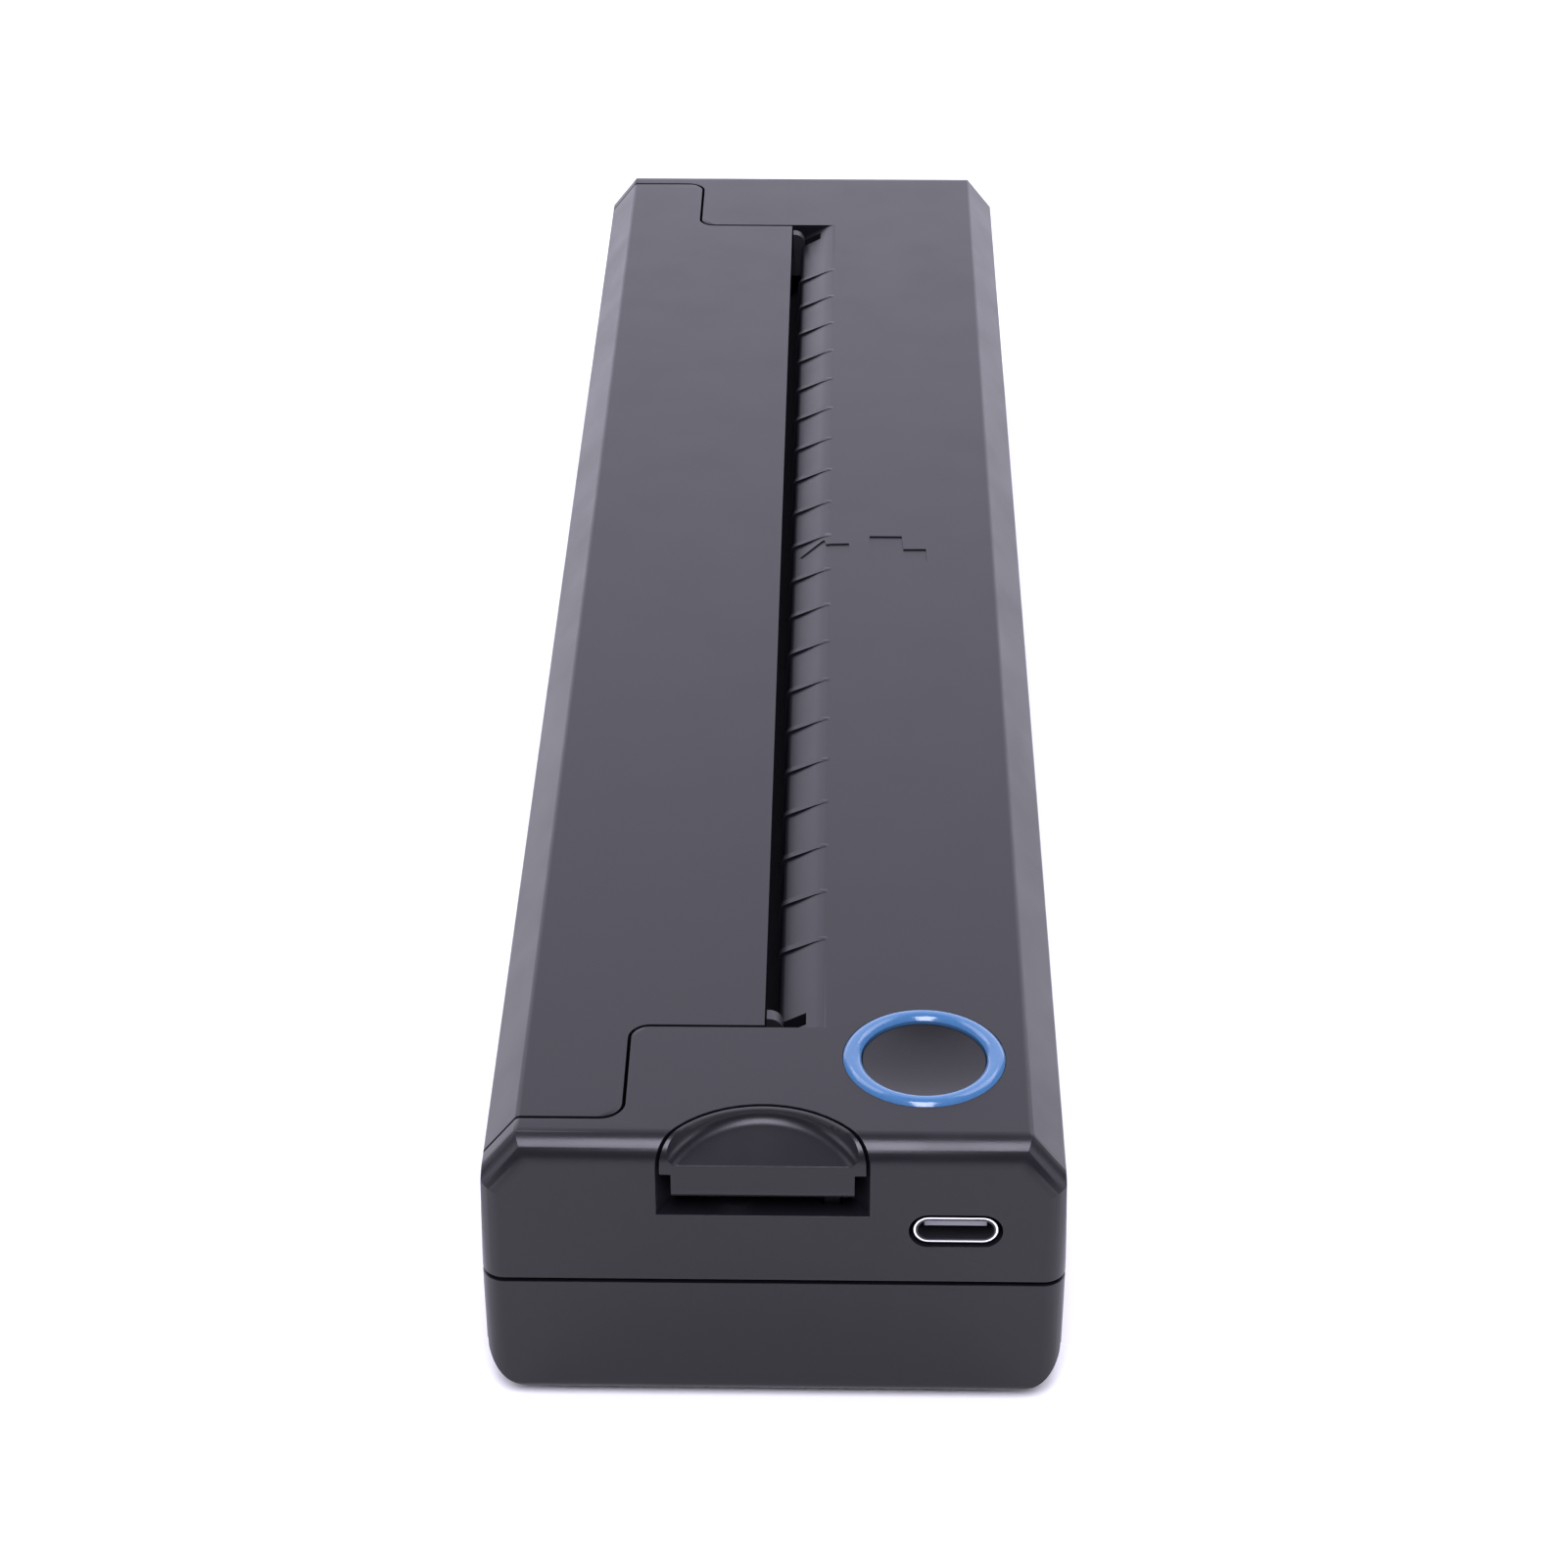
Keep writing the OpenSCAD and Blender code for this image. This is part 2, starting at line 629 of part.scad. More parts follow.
module case_screws() color(steel) on_feet() for (p = post_places) translate([p[0], p[1], 0]) difference() {
    union() {
        translate([0, 0, 1]) cylinder(r = screw_head_d / 2, h = 1.6);
        translate([0, 0, 1]) cylinder(r = screw_d / 2, h = post_foot_z + 6);
    }
    translate([0, 0, 0.5]) cylinder(r = 0.9, h = 1.2);
}

// Outline of the ramp and its skirt, moved outwards by grow.
module ramp_outline(grow) difference() {
    brow = [ramp_brow_x - grow * tan(ramp_lean / 2), case_h + grow];
    foot = [ramp_x - grow, ramp_foot_z + grow * tan((90 - ramp_lean) / 2)];
    polygon([[ramp_cx + 2, skirt_z - 2], [ramp_cx + 2, brow[1]], brow, foot, [foot[0], skirt_z - 2]]);
    translate(brow) soft_corner(-ramp_lean, 0, ramp_top_r + grow);
    if (ramp_end_r + grow > 0) translate(foot) soft_corner(-90, -ramp_lean, ramp_end_r + grow);
}

module ramp_profile() intersection() {
    difference() {
        ramp_outline(0);
        ramp_outline(-ramp_t);
    }
    translate([ramp_x - 1, skirt_z]) square([ramp_w + 1, far]);
}

module rib_profile() intersection() {
    difference() {
        ramp_outline(rib_h);
        ramp_outline(-0.4);
    }
    translate([ramp_x - 1, skirt_z + 0.6]) square([ramp_w + 1, case_h - skirt_z - 0.6]);
}

module ramp() {
    difference() {
        union() {
            along_y(slot_l + 0.4) ramp_profile();
            box(ramp_cx - eps, ramp_cx + 1, -slot_y, slot_y, case_h - ramp_t, case_h);
        }
        both_ends() box(ramp_x - 1, ramp_x + notch_reach, notch_y - notch_w / 2, notch_y + notch_w / 2,
            skirt_z - 1, case_h + 1);
    }
    for (i = [0 : rib_count - 1]) translate([0, (i - (rib_count - 1) / 2) * rib_pitch, 0])
        along_y(rib_w) rib_profile();
    both_ends() box(cover_x - 6, ramp_cx + 1, slot_y, slot_y + 1.2, skirt_z, case_h - 0.5);
}

module latch_bearing(y) translate([0, y, 0]) along_y(1.5) polygon([
    [latch_x - 2.4, latch_z - 1.2], [latch_x - 1.4, latch_z - 2.4],
    [latch_x + 3.1, latch_z - 2.4], [latch_x + 3.1, roof_z + 0.5],
    [ramp_x + ramp_t, roof_z + 0.5], [ramp_x + ramp_t, latch_z + 3.4], [latch_x - 2.4, latch_z + 2.2]
]);

module tab_housing() intersection() {
    case_body();
    translate([0, 0, pocket_z - 1.5]) linear_extrude(case_h) tab_plan(tab_gap + 1.2);
}

module upper_shell() color(shell_grey) on_feet() difference() {
    union() {
        difference() {
            intersection() {
                case_body();
                box(-far, far, -far, far, seam_high, far);
            }
            case_cavity();
            translate([0, 0, seam_high - 1]) linear_extrude(far) {
                cover_plan(cover_gap);
                translate([cover_x - 1, -slot_y]) square([ramp_cx - cover_x + 1, slot_l]);
            }
        }
        difference() {
            tongue_zone(ledge_z, seam_high + 0.4, lip_fit);
            case_cavity();
        }
        ramp();
        tab_housing();
        intersection() {
            case_cavity(wall - 0.5);
            union() {
                for (p = post_places) translate([p[0], p[1], post_foot_z]) cylinder(r = post_r, h = case_h);
                both_ends() rod_at(hinge_x, hinge_z, knuckle_r - 0.2, ear_y + cover_gap, half_l - wall + 1);
                both_ends() latch_bearing(slot_y - 16.5);
                latch_bearing(0);
            }
        }
    }
    translate([0, 0, pocket_z]) linear_extrude(case_h) tab_plan(tab_gap);
    box(lever_x - foot_half - 0.3, lever_x + foot_half + 0.3, foot_y - 0.95, foot_y + 1,
        pocket_z - 3, pocket_z + 1);
    translate([button_x, button_y, roof_z - 1]) cylinder(r = ring_d / 2 + 0.05, h = wall + 2);
    translate([port_x, -half_l, port_z]) along_y(2 * wall + 1)
        oblong(port_w + 2 * port_gap, port_h + 2 * port_gap);
    for (p = post_places) translate([p[0], p[1], post_foot_z - 1]) cylinder(r = screw_d / 2 + 0.05, h = 9);
    both_ends() rod_at(hinge_x, hinge_z, hinge_pin_d / 2, ear_y, half_l - 1);
    rod_at(latch_x, latch_z, latch_d / 2 + run_clear, -half_l + wall + 1, slot_y - 1);
}

module hinge_pins() color(steel) on_feet() both_ends()
    rod_at(hinge_x, hinge_z, hinge_pin_d / 2, ear_y - knuckle_l + 0.4, half_l - 1.1);

/* ---------- cover ---------- */

module cover() color(shell_grey) on_feet() difference() {
    intersection() {
        case_body();
        translate([0, 0, seam_high]) linear_extrude(case_h) cover_plan(0);
        union() {
            difference() {
                box(-far, far, -far, far, 0, far);
                case_cavity();
                box(-far, hinge_x, -ear_y + knuckle_l, ear_y - knuckle_l, 0, outlet_z);
            }
            both_ends() {
                box(-far, ear_x, ear_y - wall, ear_y, seam_high, case_h);
                rod_at(hinge_x, hinge_z, knuckle_r, ear_y - knuckle_l, ear_y);
                box(ear_x - rim_t, ear_x, slot_y - cover_gap - rim_t, ear_y, roof_z - rim_h, case_h);
                box(ear_x - rim_t, cover_x, slot_y - cover_gap - rim_t, slot_y, roof_z - rim_h, case_h);
            }
            box(cover_x - rim_t, cover_x, -slot_y, slot_y, roof_z - rim_h, case_h);
        }
    }
    along_y(2 * far) translate([-half_w, seam_high]) rotate(180) corner_cut(knuckle_r);
    both_ends() rod_at(hinge_x, hinge_z, hinge_pin_d / 2 + run_clear, ear_y - knuckle_l - 1, ear_y + 1);
    for (p = liner_screw_places) translate([p[0], p[1], roof_z - 1]) cylinder(r = 0.9, h = 2.2);
}

liner_t = 1.4;
liner_z = roof_z - liner_t;
liner_x0 = -top_half + 1.6;
liner_x1 = cover_x - 1.9;
liner_rib_x0 = platen_x + platen_d / 2 + 0.6;
liner_rib_t = 1;
bracket_y = slot_y + 0.5;
bracket_t = 1.2;
lug_x1 = ramp_x + 0.5;
lug_z = case_h - 0.15;
liner_screw_places = [for (x = [liner_rib_x0 + 3, cover_x - 5], y = [-6, 0, 6]) [x, y * rib_pitch]];

module liner_rib_profile() {
    low_z = guide_z + path_h;
    difference() {
        translate([liner_rib_x0, low_z]) square([cover_x - 0.3 - liner_rib_x0, liner_z + 0.1 - low_z]);
        translate([cover_x - 0.3, low_z]) mirror([0, 1]) corner_cut(guide_r - path_h);
        translate([liner_x1, liner_z - 1]) square([5, 5]);
    }
}

module lug_profile() difference() {
    union() {
        translate([cover_x - 5, nose_z - 1.6]) square([lug_x1 - cover_x + 5, 2.6]);
        translate([cover_x - 5, nose_z - 1.6]) square([3, liner_z + 0.1 - nose_z + 1.6]);
        translate([cover_x + 0.2, nose_z - 1.6]) square([lug_x1 - cover_x - 0.2, lug_z - nose_z + 1.6]);
        translate([lug_x1 - 0.5, nose_z - 1.6]) square([keeper_x - lug_x1 + 0.5, 1.5]);
    }
    translate([lug_x1, lug_z]) corner_cut(1.6);
}

module cover_liner() color(inner_grey) on_feet() difference() {
    union() {
        box(liner_x0, liner_x1, -notch_y - lug_t / 2, notch_y + lug_t / 2, liner_z, roof_z);
        both_ends() box(liner_x0, ear_x - rim_t - 0.4, 0, bracket_y + bracket_t, liner_z, roof_z);
        for (i = [0 : rib_count - 1]) translate([0, (i - (rib_count - 1) / 2) * rib_pitch, 0])
            along_y(liner_rib_t) liner_rib_profile();
        both_ends() translate([0, notch_y, 0]) along_y(lug_t) lug_profile();
        both_ends() {
            rod_at(platen_x, platen_z, bushing_d / 2 + 1.1, bracket_y, bracket_y + bracket_t);
            box(liner_x0, ear_x - rim_t - 0.6, bracket_y, bracket_y + bracket_t, platen_z, roof_z);
        }
    }
    both_ends() rod_at(platen_x, platen_z, bushing_d / 2, bracket_y - 1, bracket_y + bracket_t + 1);
    for (p = liner_screw_places) translate([p[0], p[1], liner_z - 1]) cylinder(r = 1.1, h = liner_t + 2);
}

module liner_screws() color(steel) on_feet() for (p = liner_screw_places) translate([p[0], p[1], liner_z - 1])
    difference() {
        union() {
            cylinder(r = 2, h = 1);
            cylinder(r = 0.9, h = liner_t + 2);
        }
        translate([0, 0, -0.1]) cylinder(r = 0.7, h = 0.7);
    }

tear_pitch = 3;
tear_teeth = floor(slot_l / tear_pitch);

module tear_bar() color(steel) on_feet() translate([hinge_x - 0.8, -tear_teeth * tear_pitch / 2, 0])
    rotate([90, 0, 90]) linear_extrude(0.4) polygon(concat(
        [[tear_teeth * tear_pitch, outlet_z + 3.4], [0, outlet_z + 3.4]],
        [for (i = [0 : tear_teeth - 1], p = [[0, 0], [0.5, -0.55]])
            [(i + p[0]) * tear_pitch, outlet_z + p[1]]],
        [[tear_teeth * tear_pitch, outlet_z]]
    ));

/* ---------- platen ---------- */

platen_half = slot_y - 0.4;
bushing_end = plate_y + plate_t;

module platen_core() color(steel) on_feet() {
    rod_at(platen_x, platen_z, core_d / 2, -platen_half, platen_half);
    rod_at(platen_x, platen_z, journal_d / 2, -bushing_end - 0.6, plane_a + gear_w + 0.2);
}

module platen_rubber() color([0.12, 0.12, 0.12]) on_feet() difference() {
    rod_at(platen_x, platen_z, platen_d / 2, -platen_half, platen_half);
    rod_at(platen_x, platen_z, core_d / 2, -platen_half - 1, platen_half + 1);
}

module platen_bushings() color([0.85, 0.83, 0.78]) on_feet() both_ends() difference() {
    union() {
        rod_at(platen_x, platen_z, bushing_d / 2, platen_half + 0.2, bushing_end);
        rod_at(platen_x, platen_z, bushing_d / 2 + 0.7, platen_half + 0.2, bracket_y);
    }
    rod_at(platen_x, platen_z, journal_d / 2 + run_clear, platen_half, bushing_end + 1);
}

module platen_gear() color([0.9, 0.9, 0.86]) on_feet() difference() {
    gear(platen_x, platen_z, platen_teeth, plane_a, platen_phase);
    rod_at(platen_x, platen_z, journal_d / 2, plane_a - 1, plane_a + gear_w + 1);
}

/* ---------- frame, paper guide and print head ---------- */

// Waste that the bushing needs when the cover swings open.
module bushing_sweep() {
    reach = hinge_to_platen;
    r = bushing_d / 2 + 0.15;
    start = atan2(platen_z - hinge_z, platen_dx);
    translate([platen_x, platen_z]) circle(r);
    translate([hinge_x, hinge_z]) intersection() {
        difference() {
            circle(reach + r);
            circle(reach - r);
        }
        polygon([[0, 0], 20 * [cos(start), sin(start)], 20 * [cos(start + 50), sin(start + 50)],
            20 * [cos(start + 100), sin(start + 100)]]);
    }
}

module end_plate_profile() difference() {
    intersection() {
        end_section(wall + run_clear);
        polygon([
            [head_x0 - 0.8, 0], [head_x0 - 0.8, seam_low - 0.8], [hinge_x + 3.6, seam_low - 0.8],
            [hinge_x + 3.6, platen_z - 3.8], [platen_x, platen_z - 3.8], [platen_x + 3, platen_z + 1],
            [head_x1 - 0.6, platen_z + 1], [web_x + web_t, guide_z - guide_t], [web_x + web_t, 0]
        ]);
    }
    bushing_sweep();
    translate([pivot_x, pivot_z]) circle(pivot_d / 2 + 0.02);
}

module mech_frame() color([0.3, 0.31, 0.33]) on_feet() difference() {
    union() {
        both_ends() translate([0, plate_y + plate_t / 2, 0]) along_y(plate_t) end_plate_profile();
        box(web_x, motor_x + motor_d / 2 + 1, plate_y, plate_y + plate_t,
            wall + run_clear, motor_z + motor_d / 2);
        box(web_x, web_x + web_t, -plate_y - eps, plate_y + eps, frame_foot_z, guide_z - guide_t);
        box(web_x, web_x + 7.4, frame_screw_ys[0] - 6, frame_screw_ys[2] + 6,
            frame_foot_z, frame_foot_z + web_t);
    }
    rod_at(motor_x, motor_z, motor_d / 2 + 0.4, plate_y - motor_l - 0.5, plate_y);
    rod_at(motor_x, motor_z, 2.6, plate_y - 1, plate_y + plate_t + 1);
    for (s = [-1, 1]) rod_at(motor_x + s * 5.2, motor_z, 1.05, plate_y - 1, plate_y + plate_t + 1);
    rod_at(idler1_x, idler1_z, 1.2, plate_y - 1, plate_y + plate_t + 1);
    rod_at(idler2_x, idler2_z, 1.2, plate_y - 1, plate_y + plate_t + 1);
    for (y = frame_screw_ys) translate([frame_screw_x, y, frame_foot_z - 1]) cylinder(r = 1.2, h = 4);
}

module frame_screws() color(steel) on_feet() for (y = frame_screw_ys)
    translate([frame_screw_x, y, frame_foot_z + web_t]) difference() {
        union() {
            cylinder(r = 2.1, h = 1.2);
            translate([0, 0, -4]) cylinder(r = 1, h = 4.5);
        }
        translate([0, 0, 0.6]) cylinder(r = 0.8, h = 1);
    }

sensor_w = 4;
sensor_x = web_x + web_t + 1.3;

module guide_profile() {
    translate([head_x1 + 0.4, guide_z - guide_t]) square([guide_cx - head_x1 - 0.4 + eps, guide_t]);
    intersection() {
        translate([guide_cx, guide_cz]) difference() {
            circle(guide_r + guide_t);
            circle(guide_r);
        }
        translate([guide_cx, guide_z - guide_t]) square([guide_r + guide_t, guide_r + guide_t]);
    }
}

module paper_guide() color(inner_grey) on_feet() difference() {
    along_y(slot_l - 0.8) guide_profile();
    box(sensor_x, sensor_x + sensor_w, -sensor_w / 2, sensor_w / 2, 0, guide_z + 1);
}

module paper_sensor() color([0.05, 0.05, 0.06]) on_feet()
    box(sensor_x + 0.1, sensor_x + sensor_w - 0.1, -sensor_w / 2 + 0.1, sensor_w / 2 - 0.1,
        guide_z - guide_t - 0.8, guide_z - 0.1);

module head_board() color([0.82, 0.8, 0.74]) on_feet()
    box(head_x0, head_x1, -head_l / 2, head_l / 2, board_z, nip_z);

module chip_cover() color([0.08, 0.08, 0.09]) on_feet() along_y(head_l - 4)
    translate([head_x1 - chip_cover_w - 0.2, nip_z]) difference() {
        square([chip_cover_w, chip_cover_h]);
        translate([0, chip_cover_h]) mirror([1, 0]) corner_cut(0.6);
    }

module heat_sink() color([0.7, 0.71, 0.73]) on_feet() difference() {
    union() {
        box(head_x0, head_x1, -head_l / 2, head_l / 2, sink_z, board_z);
        box(pivot_x - 1.9, pivot_x + 1.3, -head_l / 2, head_l / 2, pivot_z - 1.9, board_z);
    }
    both_ends() rod_at(pivot_x, pivot_z, pivot_d / 2 + run_clear, head_l / 2 - 9, head_l / 2 + 1);
}

module head_springs() color(steel) on_feet() for (y = spring_ys) translate([spring_x, y, spring_seat_z])
    coil_spring(2.6, 0.35, 5, sink_z - spring_seat_z);

module head_pivots() color(steel) on_feet() both_ends()
    rod_at(pivot_x, pivot_z, pivot_d / 2, head_l / 2 - 8, plate_y + plate_t);

/* ---------- gear train and motor ---------- */

stud_r = 1.2;
nylon = [0.9, 0.9, 0.86];

module idler(x, z, small, small_y, small_phase, large, large_y, large_phase) difference() {
    union() {
        gear(x, z, small, small_y, small_phase);
        gear(x, z, large, large_y, large_phase);
        rod_at(x, z, pitch_r(small) - 1, min(small_y, large_y), max(small_y, large_y) + gear_w);
    }
    rod_at(x, z, stud_r + run_clear, 0, far);
}

module idler_gear_1() color(nylon) on_feet()
    idler(idler1_x, idler1_z, idler1_small, plane_a, idler1_small_phase,
        idler1_large, plane_b, idler1_large_phase);

module idler_gear_2() color(nylon) on_feet()
    idler(idler2_x, idler2_z, idler2_small, plane_b, idler2_small_phase,
        idler2_large, plane_c, idler2_large_phase);

module idler_studs() color(steel) on_feet() {
    rod_at(idler1_x, idler1_z, stud_r, plate_y, plane_b + gear_w + 0.3);
    rod_at(idler2_x, idler2_z, stud_r, plate_y, plane_c + gear_w + 0.3);
}

module motor_can() color(steel) on_feet() difference() {
    rod_at(motor_x, motor_z, motor_d / 2, plate_y - motor_l, plate_y);
    rod_at(motor_x, motor_z, 0.8 + run_clear, plate_y - motor_l + 2, plate_y + 1);
    for (s = [-1, 1]) rod_at(motor_x + s * 5.2, motor_z, 1, plate_y - 3, plate_y + 1);
}

module motor_shaft() color(steel) on_feet()
    rod_at(motor_x, motor_z, 0.8, plate_y - motor_l + 2.5, plane_c + gear_w + 0.3);

module motor_pinion() color([0.8, 0.65, 0.3]) on_feet() difference() {
    union() {
        gear(motor_x, motor_z, pinion_teeth, plane_c, pinion_phase);
        rod_at(motor_x, motor_z, 1.8, plane_b, plane_c);
    }
    rod_at(motor_x, motor_z, 0.8, plane_b - 1, plane_c + gear_w + 1);
}

module motor_screws() color(steel) on_feet() for (s = [-1, 1]) {
    rod_at(motor_x + s * 5.2, motor_z, 1, plate_y - 2.5, plate_y + plate_t + 0.5);
    rod_at(motor_x + s * 5.2, motor_z, 1.7, plate_y + plate_t, plate_y + plate_t + 0.8);
}

/* ---------- release latch ---------- */

tab_spring_x = tab_x - 3;
tab_spring_y = -half_l + 4.4;
foot_half = 0.8;
foot_z = lever_z + 0.1 + foot_half;

// Half profile of the hollow for the thumb: flat floor, concave foot, leaning wall.
module dish_profile() difference() {
    foot_at = tab_r - dish_rim - dish_back_h / tan(dish_wall_lean);
    polygon([[0, 0], [foot_at, 0], [foot_at + 9 / tan(dish_wall_lean), 9], [0, 9]]);
    translate([foot_at, 0]) soft_corner(180 - dish_wall_lean, 180, dish_hollow_r);
}

module tab_dish() intersection() {
    translate([tab_x, -half_l, dish_z]) rotate([dish_tilt, 0, 0]) translate([0, dish_cy, 0])
        rotate_extrude($fn = 128) dish_profile();
    box(tab_x - tab_w / 2 + dish_side, tab_x + tab_w / 2 - dish_side, -half_l - 2, 0, 0, far);
}

module tab_lip() difference() {
    box(tab_x - tab_w / 2 + lip_inset, tab_x + tab_w / 2 - lip_inset, -half_l, -half_l + 2,
        lip_z, flange_z + eps);
    translate([0, -half_l, lip_z]) along_x(2 * far) rotate(180) corner_cut(1.7);
}

module release_tab() color(shell_grey) on_feet() difference() {
    union() {
        intersection() {
            case_body();
            translate([0, 0, flange_z]) linear_extrude(far) tab_plan(0);
        }
        tab_lip();
        box(lever_x - foot_half, lever_x + foot_half, foot_y - 0.7, foot_y + 0.7, foot_z, flange_z + eps);
        rod_at(lever_x, foot_z, foot_half, foot_y - 0.7, foot_y + 0.7);
        translate([tab_spring_x, tab_spring_y, flange_z - 2]) cylinder(r = 1, h = 2 + eps);
    }
    tab_dish();
}

module tab_spring() color(steel) on_feet() translate([tab_spring_x, tab_spring_y, pocket_z])
    coil_spring(1.9, 0.25, 5, flange_z - pocket_z);

module latch_arm_profile() {
    polygon([
        [latch_x - 1.5, latch_z], [ramp_x + 2.5, nose_z - 4.1], [ramp_x + 2.7, nose_z],
        [keeper_x + latch_clear, nose_z], [keeper_x + latch_clear, nose_z + 1.5],
        [ramp_x + 4.8, nose_z + 1.5], [ramp_x + 5, nose_z - 4.1], [latch_x + 1.6, latch_z - 0.5]
    ]);
    translate([latch_x, latch_z]) circle(latch_d / 2 + 0.8);
}

module latch_bar() color([0.2, 0.2, 0.21]) on_feet() {
    rod_at(latch_x, latch_z, latch_d / 2, -half_l + wall + 0.5, notch_y + lug_t / 2);
    both_ends() translate([0, notch_y, 0]) along_y(lug_t) latch_arm_profile();
    box(latch_x, lever_x + 1.8, lever_y0, lever_y1, lever_z - 2, lever_z);
}

module latch_spring() color(steel) on_feet() translate([lever_x, latch_spring_y, latch_spring_z])
    coil_spring(2, 0.3, 5, lever_z - 2 - latch_spring_z);

/* ---------- power button and port ---------- */

ring_flange = 0.85;
stem_z = io_top + switch_h + cap_travel + 0.6;

module light_ring() color([0.35, 0.62, 0.95]) on_feet() translate([button_x, button_y, 0])
    rotate_extrude($fn = 96)
    difference() {
        union() {
            translate([ring_bore_d / 2, roof_z - 1]) square([(ring_d - ring_bore_d) / 2 + ring_flange, 0.95]);
            intersection() {
                translate([ring_bore_d / 2, roof_z - 0.5]) square([(ring_d - ring_bore_d) / 2, 10]);
                translate([(ring_d + ring_bore_d) / 4, case_h + ring_proud - 1.2]) {
                    circle(1.2);
                    translate([-2, -5]) square([4, 5]);
                }
            }
        }
        translate([-1, 0]) square([1, 50]);
    }

module power_cap() color([0.12, 0.12, 0.14]) on_feet() translate([button_x, button_y, 0]) difference() {
    union() {
        translate([0, 0, roof_z - 1.6]) cylinder(r = ring_bore_d / 2 - cap_gap, h = wall + 1.6 - cap_sink);
        translate([0, 0, roof_z - 2.4]) cylinder(r = ring_bore_d / 2 + 0.7, h = 1.2);
        translate([0, 0, stem_z]) cylinder(r = 2, h = roof_z - 2 - stem_z);
    }
    translate([0, 0, case_h - cap_sink - 0.6 + 36]) sphere(r = 36, $fn = 128);
}

module switch_plunger() color([0.85, 0.82, 0.75]) on_feet()
    translate([button_x, button_y, io_top + switch_h - 1])
        cylinder(r = 1.75, h = stem_z - io_top - switch_h + 1);

module switch_body() color([0.15, 0.15, 0.16]) on_feet() difference() {
    box(button_x - 3, button_x + 3, button_y - 3, button_y + 3, io_top, io_top + switch_h);
    translate([button_x, button_y, io_top + switch_h - 1.6]) cylinder(r = 1.75 + run_clear, h = 3);
}

port_depth = 7.3;
port_face = -half_l + 0.3;
port_wall = 0.3;

module usb_shell() color(steel) on_feet()
    translate([port_x, port_face + port_depth / 2, port_z]) difference() {
    along_y(port_depth) oblong(port_w, port_h);
    translate([0, -port_wall, 0]) along_y(port_depth) oblong(port_w - 2 * port_wall, port_h - 2 * port_wall);
}

module usb_tongue() color([0.1, 0.1, 0.1]) on_feet() translate([port_x, 0, port_z]) {
    box(-3.3, 3.3, port_face + 1, port_face + port_depth - port_wall, -0.2, 0.5);
    box(-3.6, 3.6, port_face + 5, port_face + port_depth - port_wall, -1.1, 1.1);
}

/* ---------- boards and battery ---------- */

module io_board() color([0.05, 0.3, 0.15]) on_feet() difference() {
    box(io_x0, io_x1, io_y0, io_y0 + io_l, io_bottom, io_top);
    for (p = io_posts) translate([p[0], p[1], 0]) cylinder(r = 1, h = far);
}

module main_board() color([0.05, 0.3, 0.15]) on_feet() difference() {
    box(main_x0, main_x0 + main_w, main_y0, main_y0 + main_l, main_z, main_z + pcb_t);
    for (p = main_posts) translate([p[0], p[1], 0]) cylinder(r = 1, h = far);
}

// A chip, a memory, a coil and three connectors, each at a share of the board.
module board_parts() color([0.12, 0.12, 0.13]) on_feet() translate([main_x0, main_y0, main_z + pcb_t]) {
    translate([main_w * 0.33, main_l * 0.34, 0]) cube([8, 8, 1]);
    translate([main_w * 0.33, main_l * 0.62, 0]) cube([5, 6, 1.6]);
    translate([main_w * 0.72, main_l * 0.62, 0]) cylinder(r = 2.6, h = 5);
    translate([1, main_l * 0.2, 0]) cube([4, 16, 3.2]);
    translate([1, main_l * 0.55, 0]) cube([4, 9, 3.2]);
    translate([main_w - 6, main_l * 0.82, 0]) cube([4.5, 7, 4]);
}

module battery_cells() color([0.2, 0.42, 0.65]) on_feet() {
    rod_at(cell_x, cell_z, cell_d / 2, cell_y0, cell_y0 + cell_l);
    rod_at(cell_x, cell_z, cell_d / 2, cells_end - cell_l, cells_end);
}

module battery_contacts() color(steel) on_feet() {
    for (y = [cell_y0 - 0.5, cell_y0 + cell_l + 0.3, cells_end + 0.1])
        box(cell_x - 4, cell_x + 4, y, y + 0.4, wall, cell_z + 4);
}

bottom_shell();
upper_shell();
rubber_feet();
case_screws();
hinge_pins();
cover();
cover_liner();
liner_screws();
tear_bar();
platen_core();
platen_rubber();
platen_bushings();
platen_gear();
mech_frame();
frame_screws();
paper_guide();
paper_sensor();
head_board();
chip_cover();
heat_sink();
head_springs();
head_pivots();
idler_gear_1();
idler_gear_2();
idler_studs();
motor_can();
motor_shaft();
motor_pinion();
motor_screws();
release_tab();
tab_spring();
latch_bar();
latch_spring();
light_ring();
power_cap();
switch_plunger();
switch_body();
usb_shell();
usb_tongue();
io_board();
main_board();
board_parts();
battery_cells();
battery_contacts();
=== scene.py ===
import math

import bmesh
import bpy
from mathutils import Matrix, Vector


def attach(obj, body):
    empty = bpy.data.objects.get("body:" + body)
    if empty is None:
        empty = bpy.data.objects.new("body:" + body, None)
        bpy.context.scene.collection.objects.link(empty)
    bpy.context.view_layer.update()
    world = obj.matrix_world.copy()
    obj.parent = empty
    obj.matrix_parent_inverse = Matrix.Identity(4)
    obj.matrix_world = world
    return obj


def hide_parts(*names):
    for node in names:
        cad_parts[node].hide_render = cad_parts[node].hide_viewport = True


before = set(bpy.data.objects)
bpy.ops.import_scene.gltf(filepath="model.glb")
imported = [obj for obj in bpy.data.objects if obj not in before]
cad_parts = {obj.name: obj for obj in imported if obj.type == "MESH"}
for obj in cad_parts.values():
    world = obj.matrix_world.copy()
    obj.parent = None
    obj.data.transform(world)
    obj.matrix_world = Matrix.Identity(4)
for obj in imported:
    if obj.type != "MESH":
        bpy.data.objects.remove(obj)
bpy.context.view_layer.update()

MM = 0.001


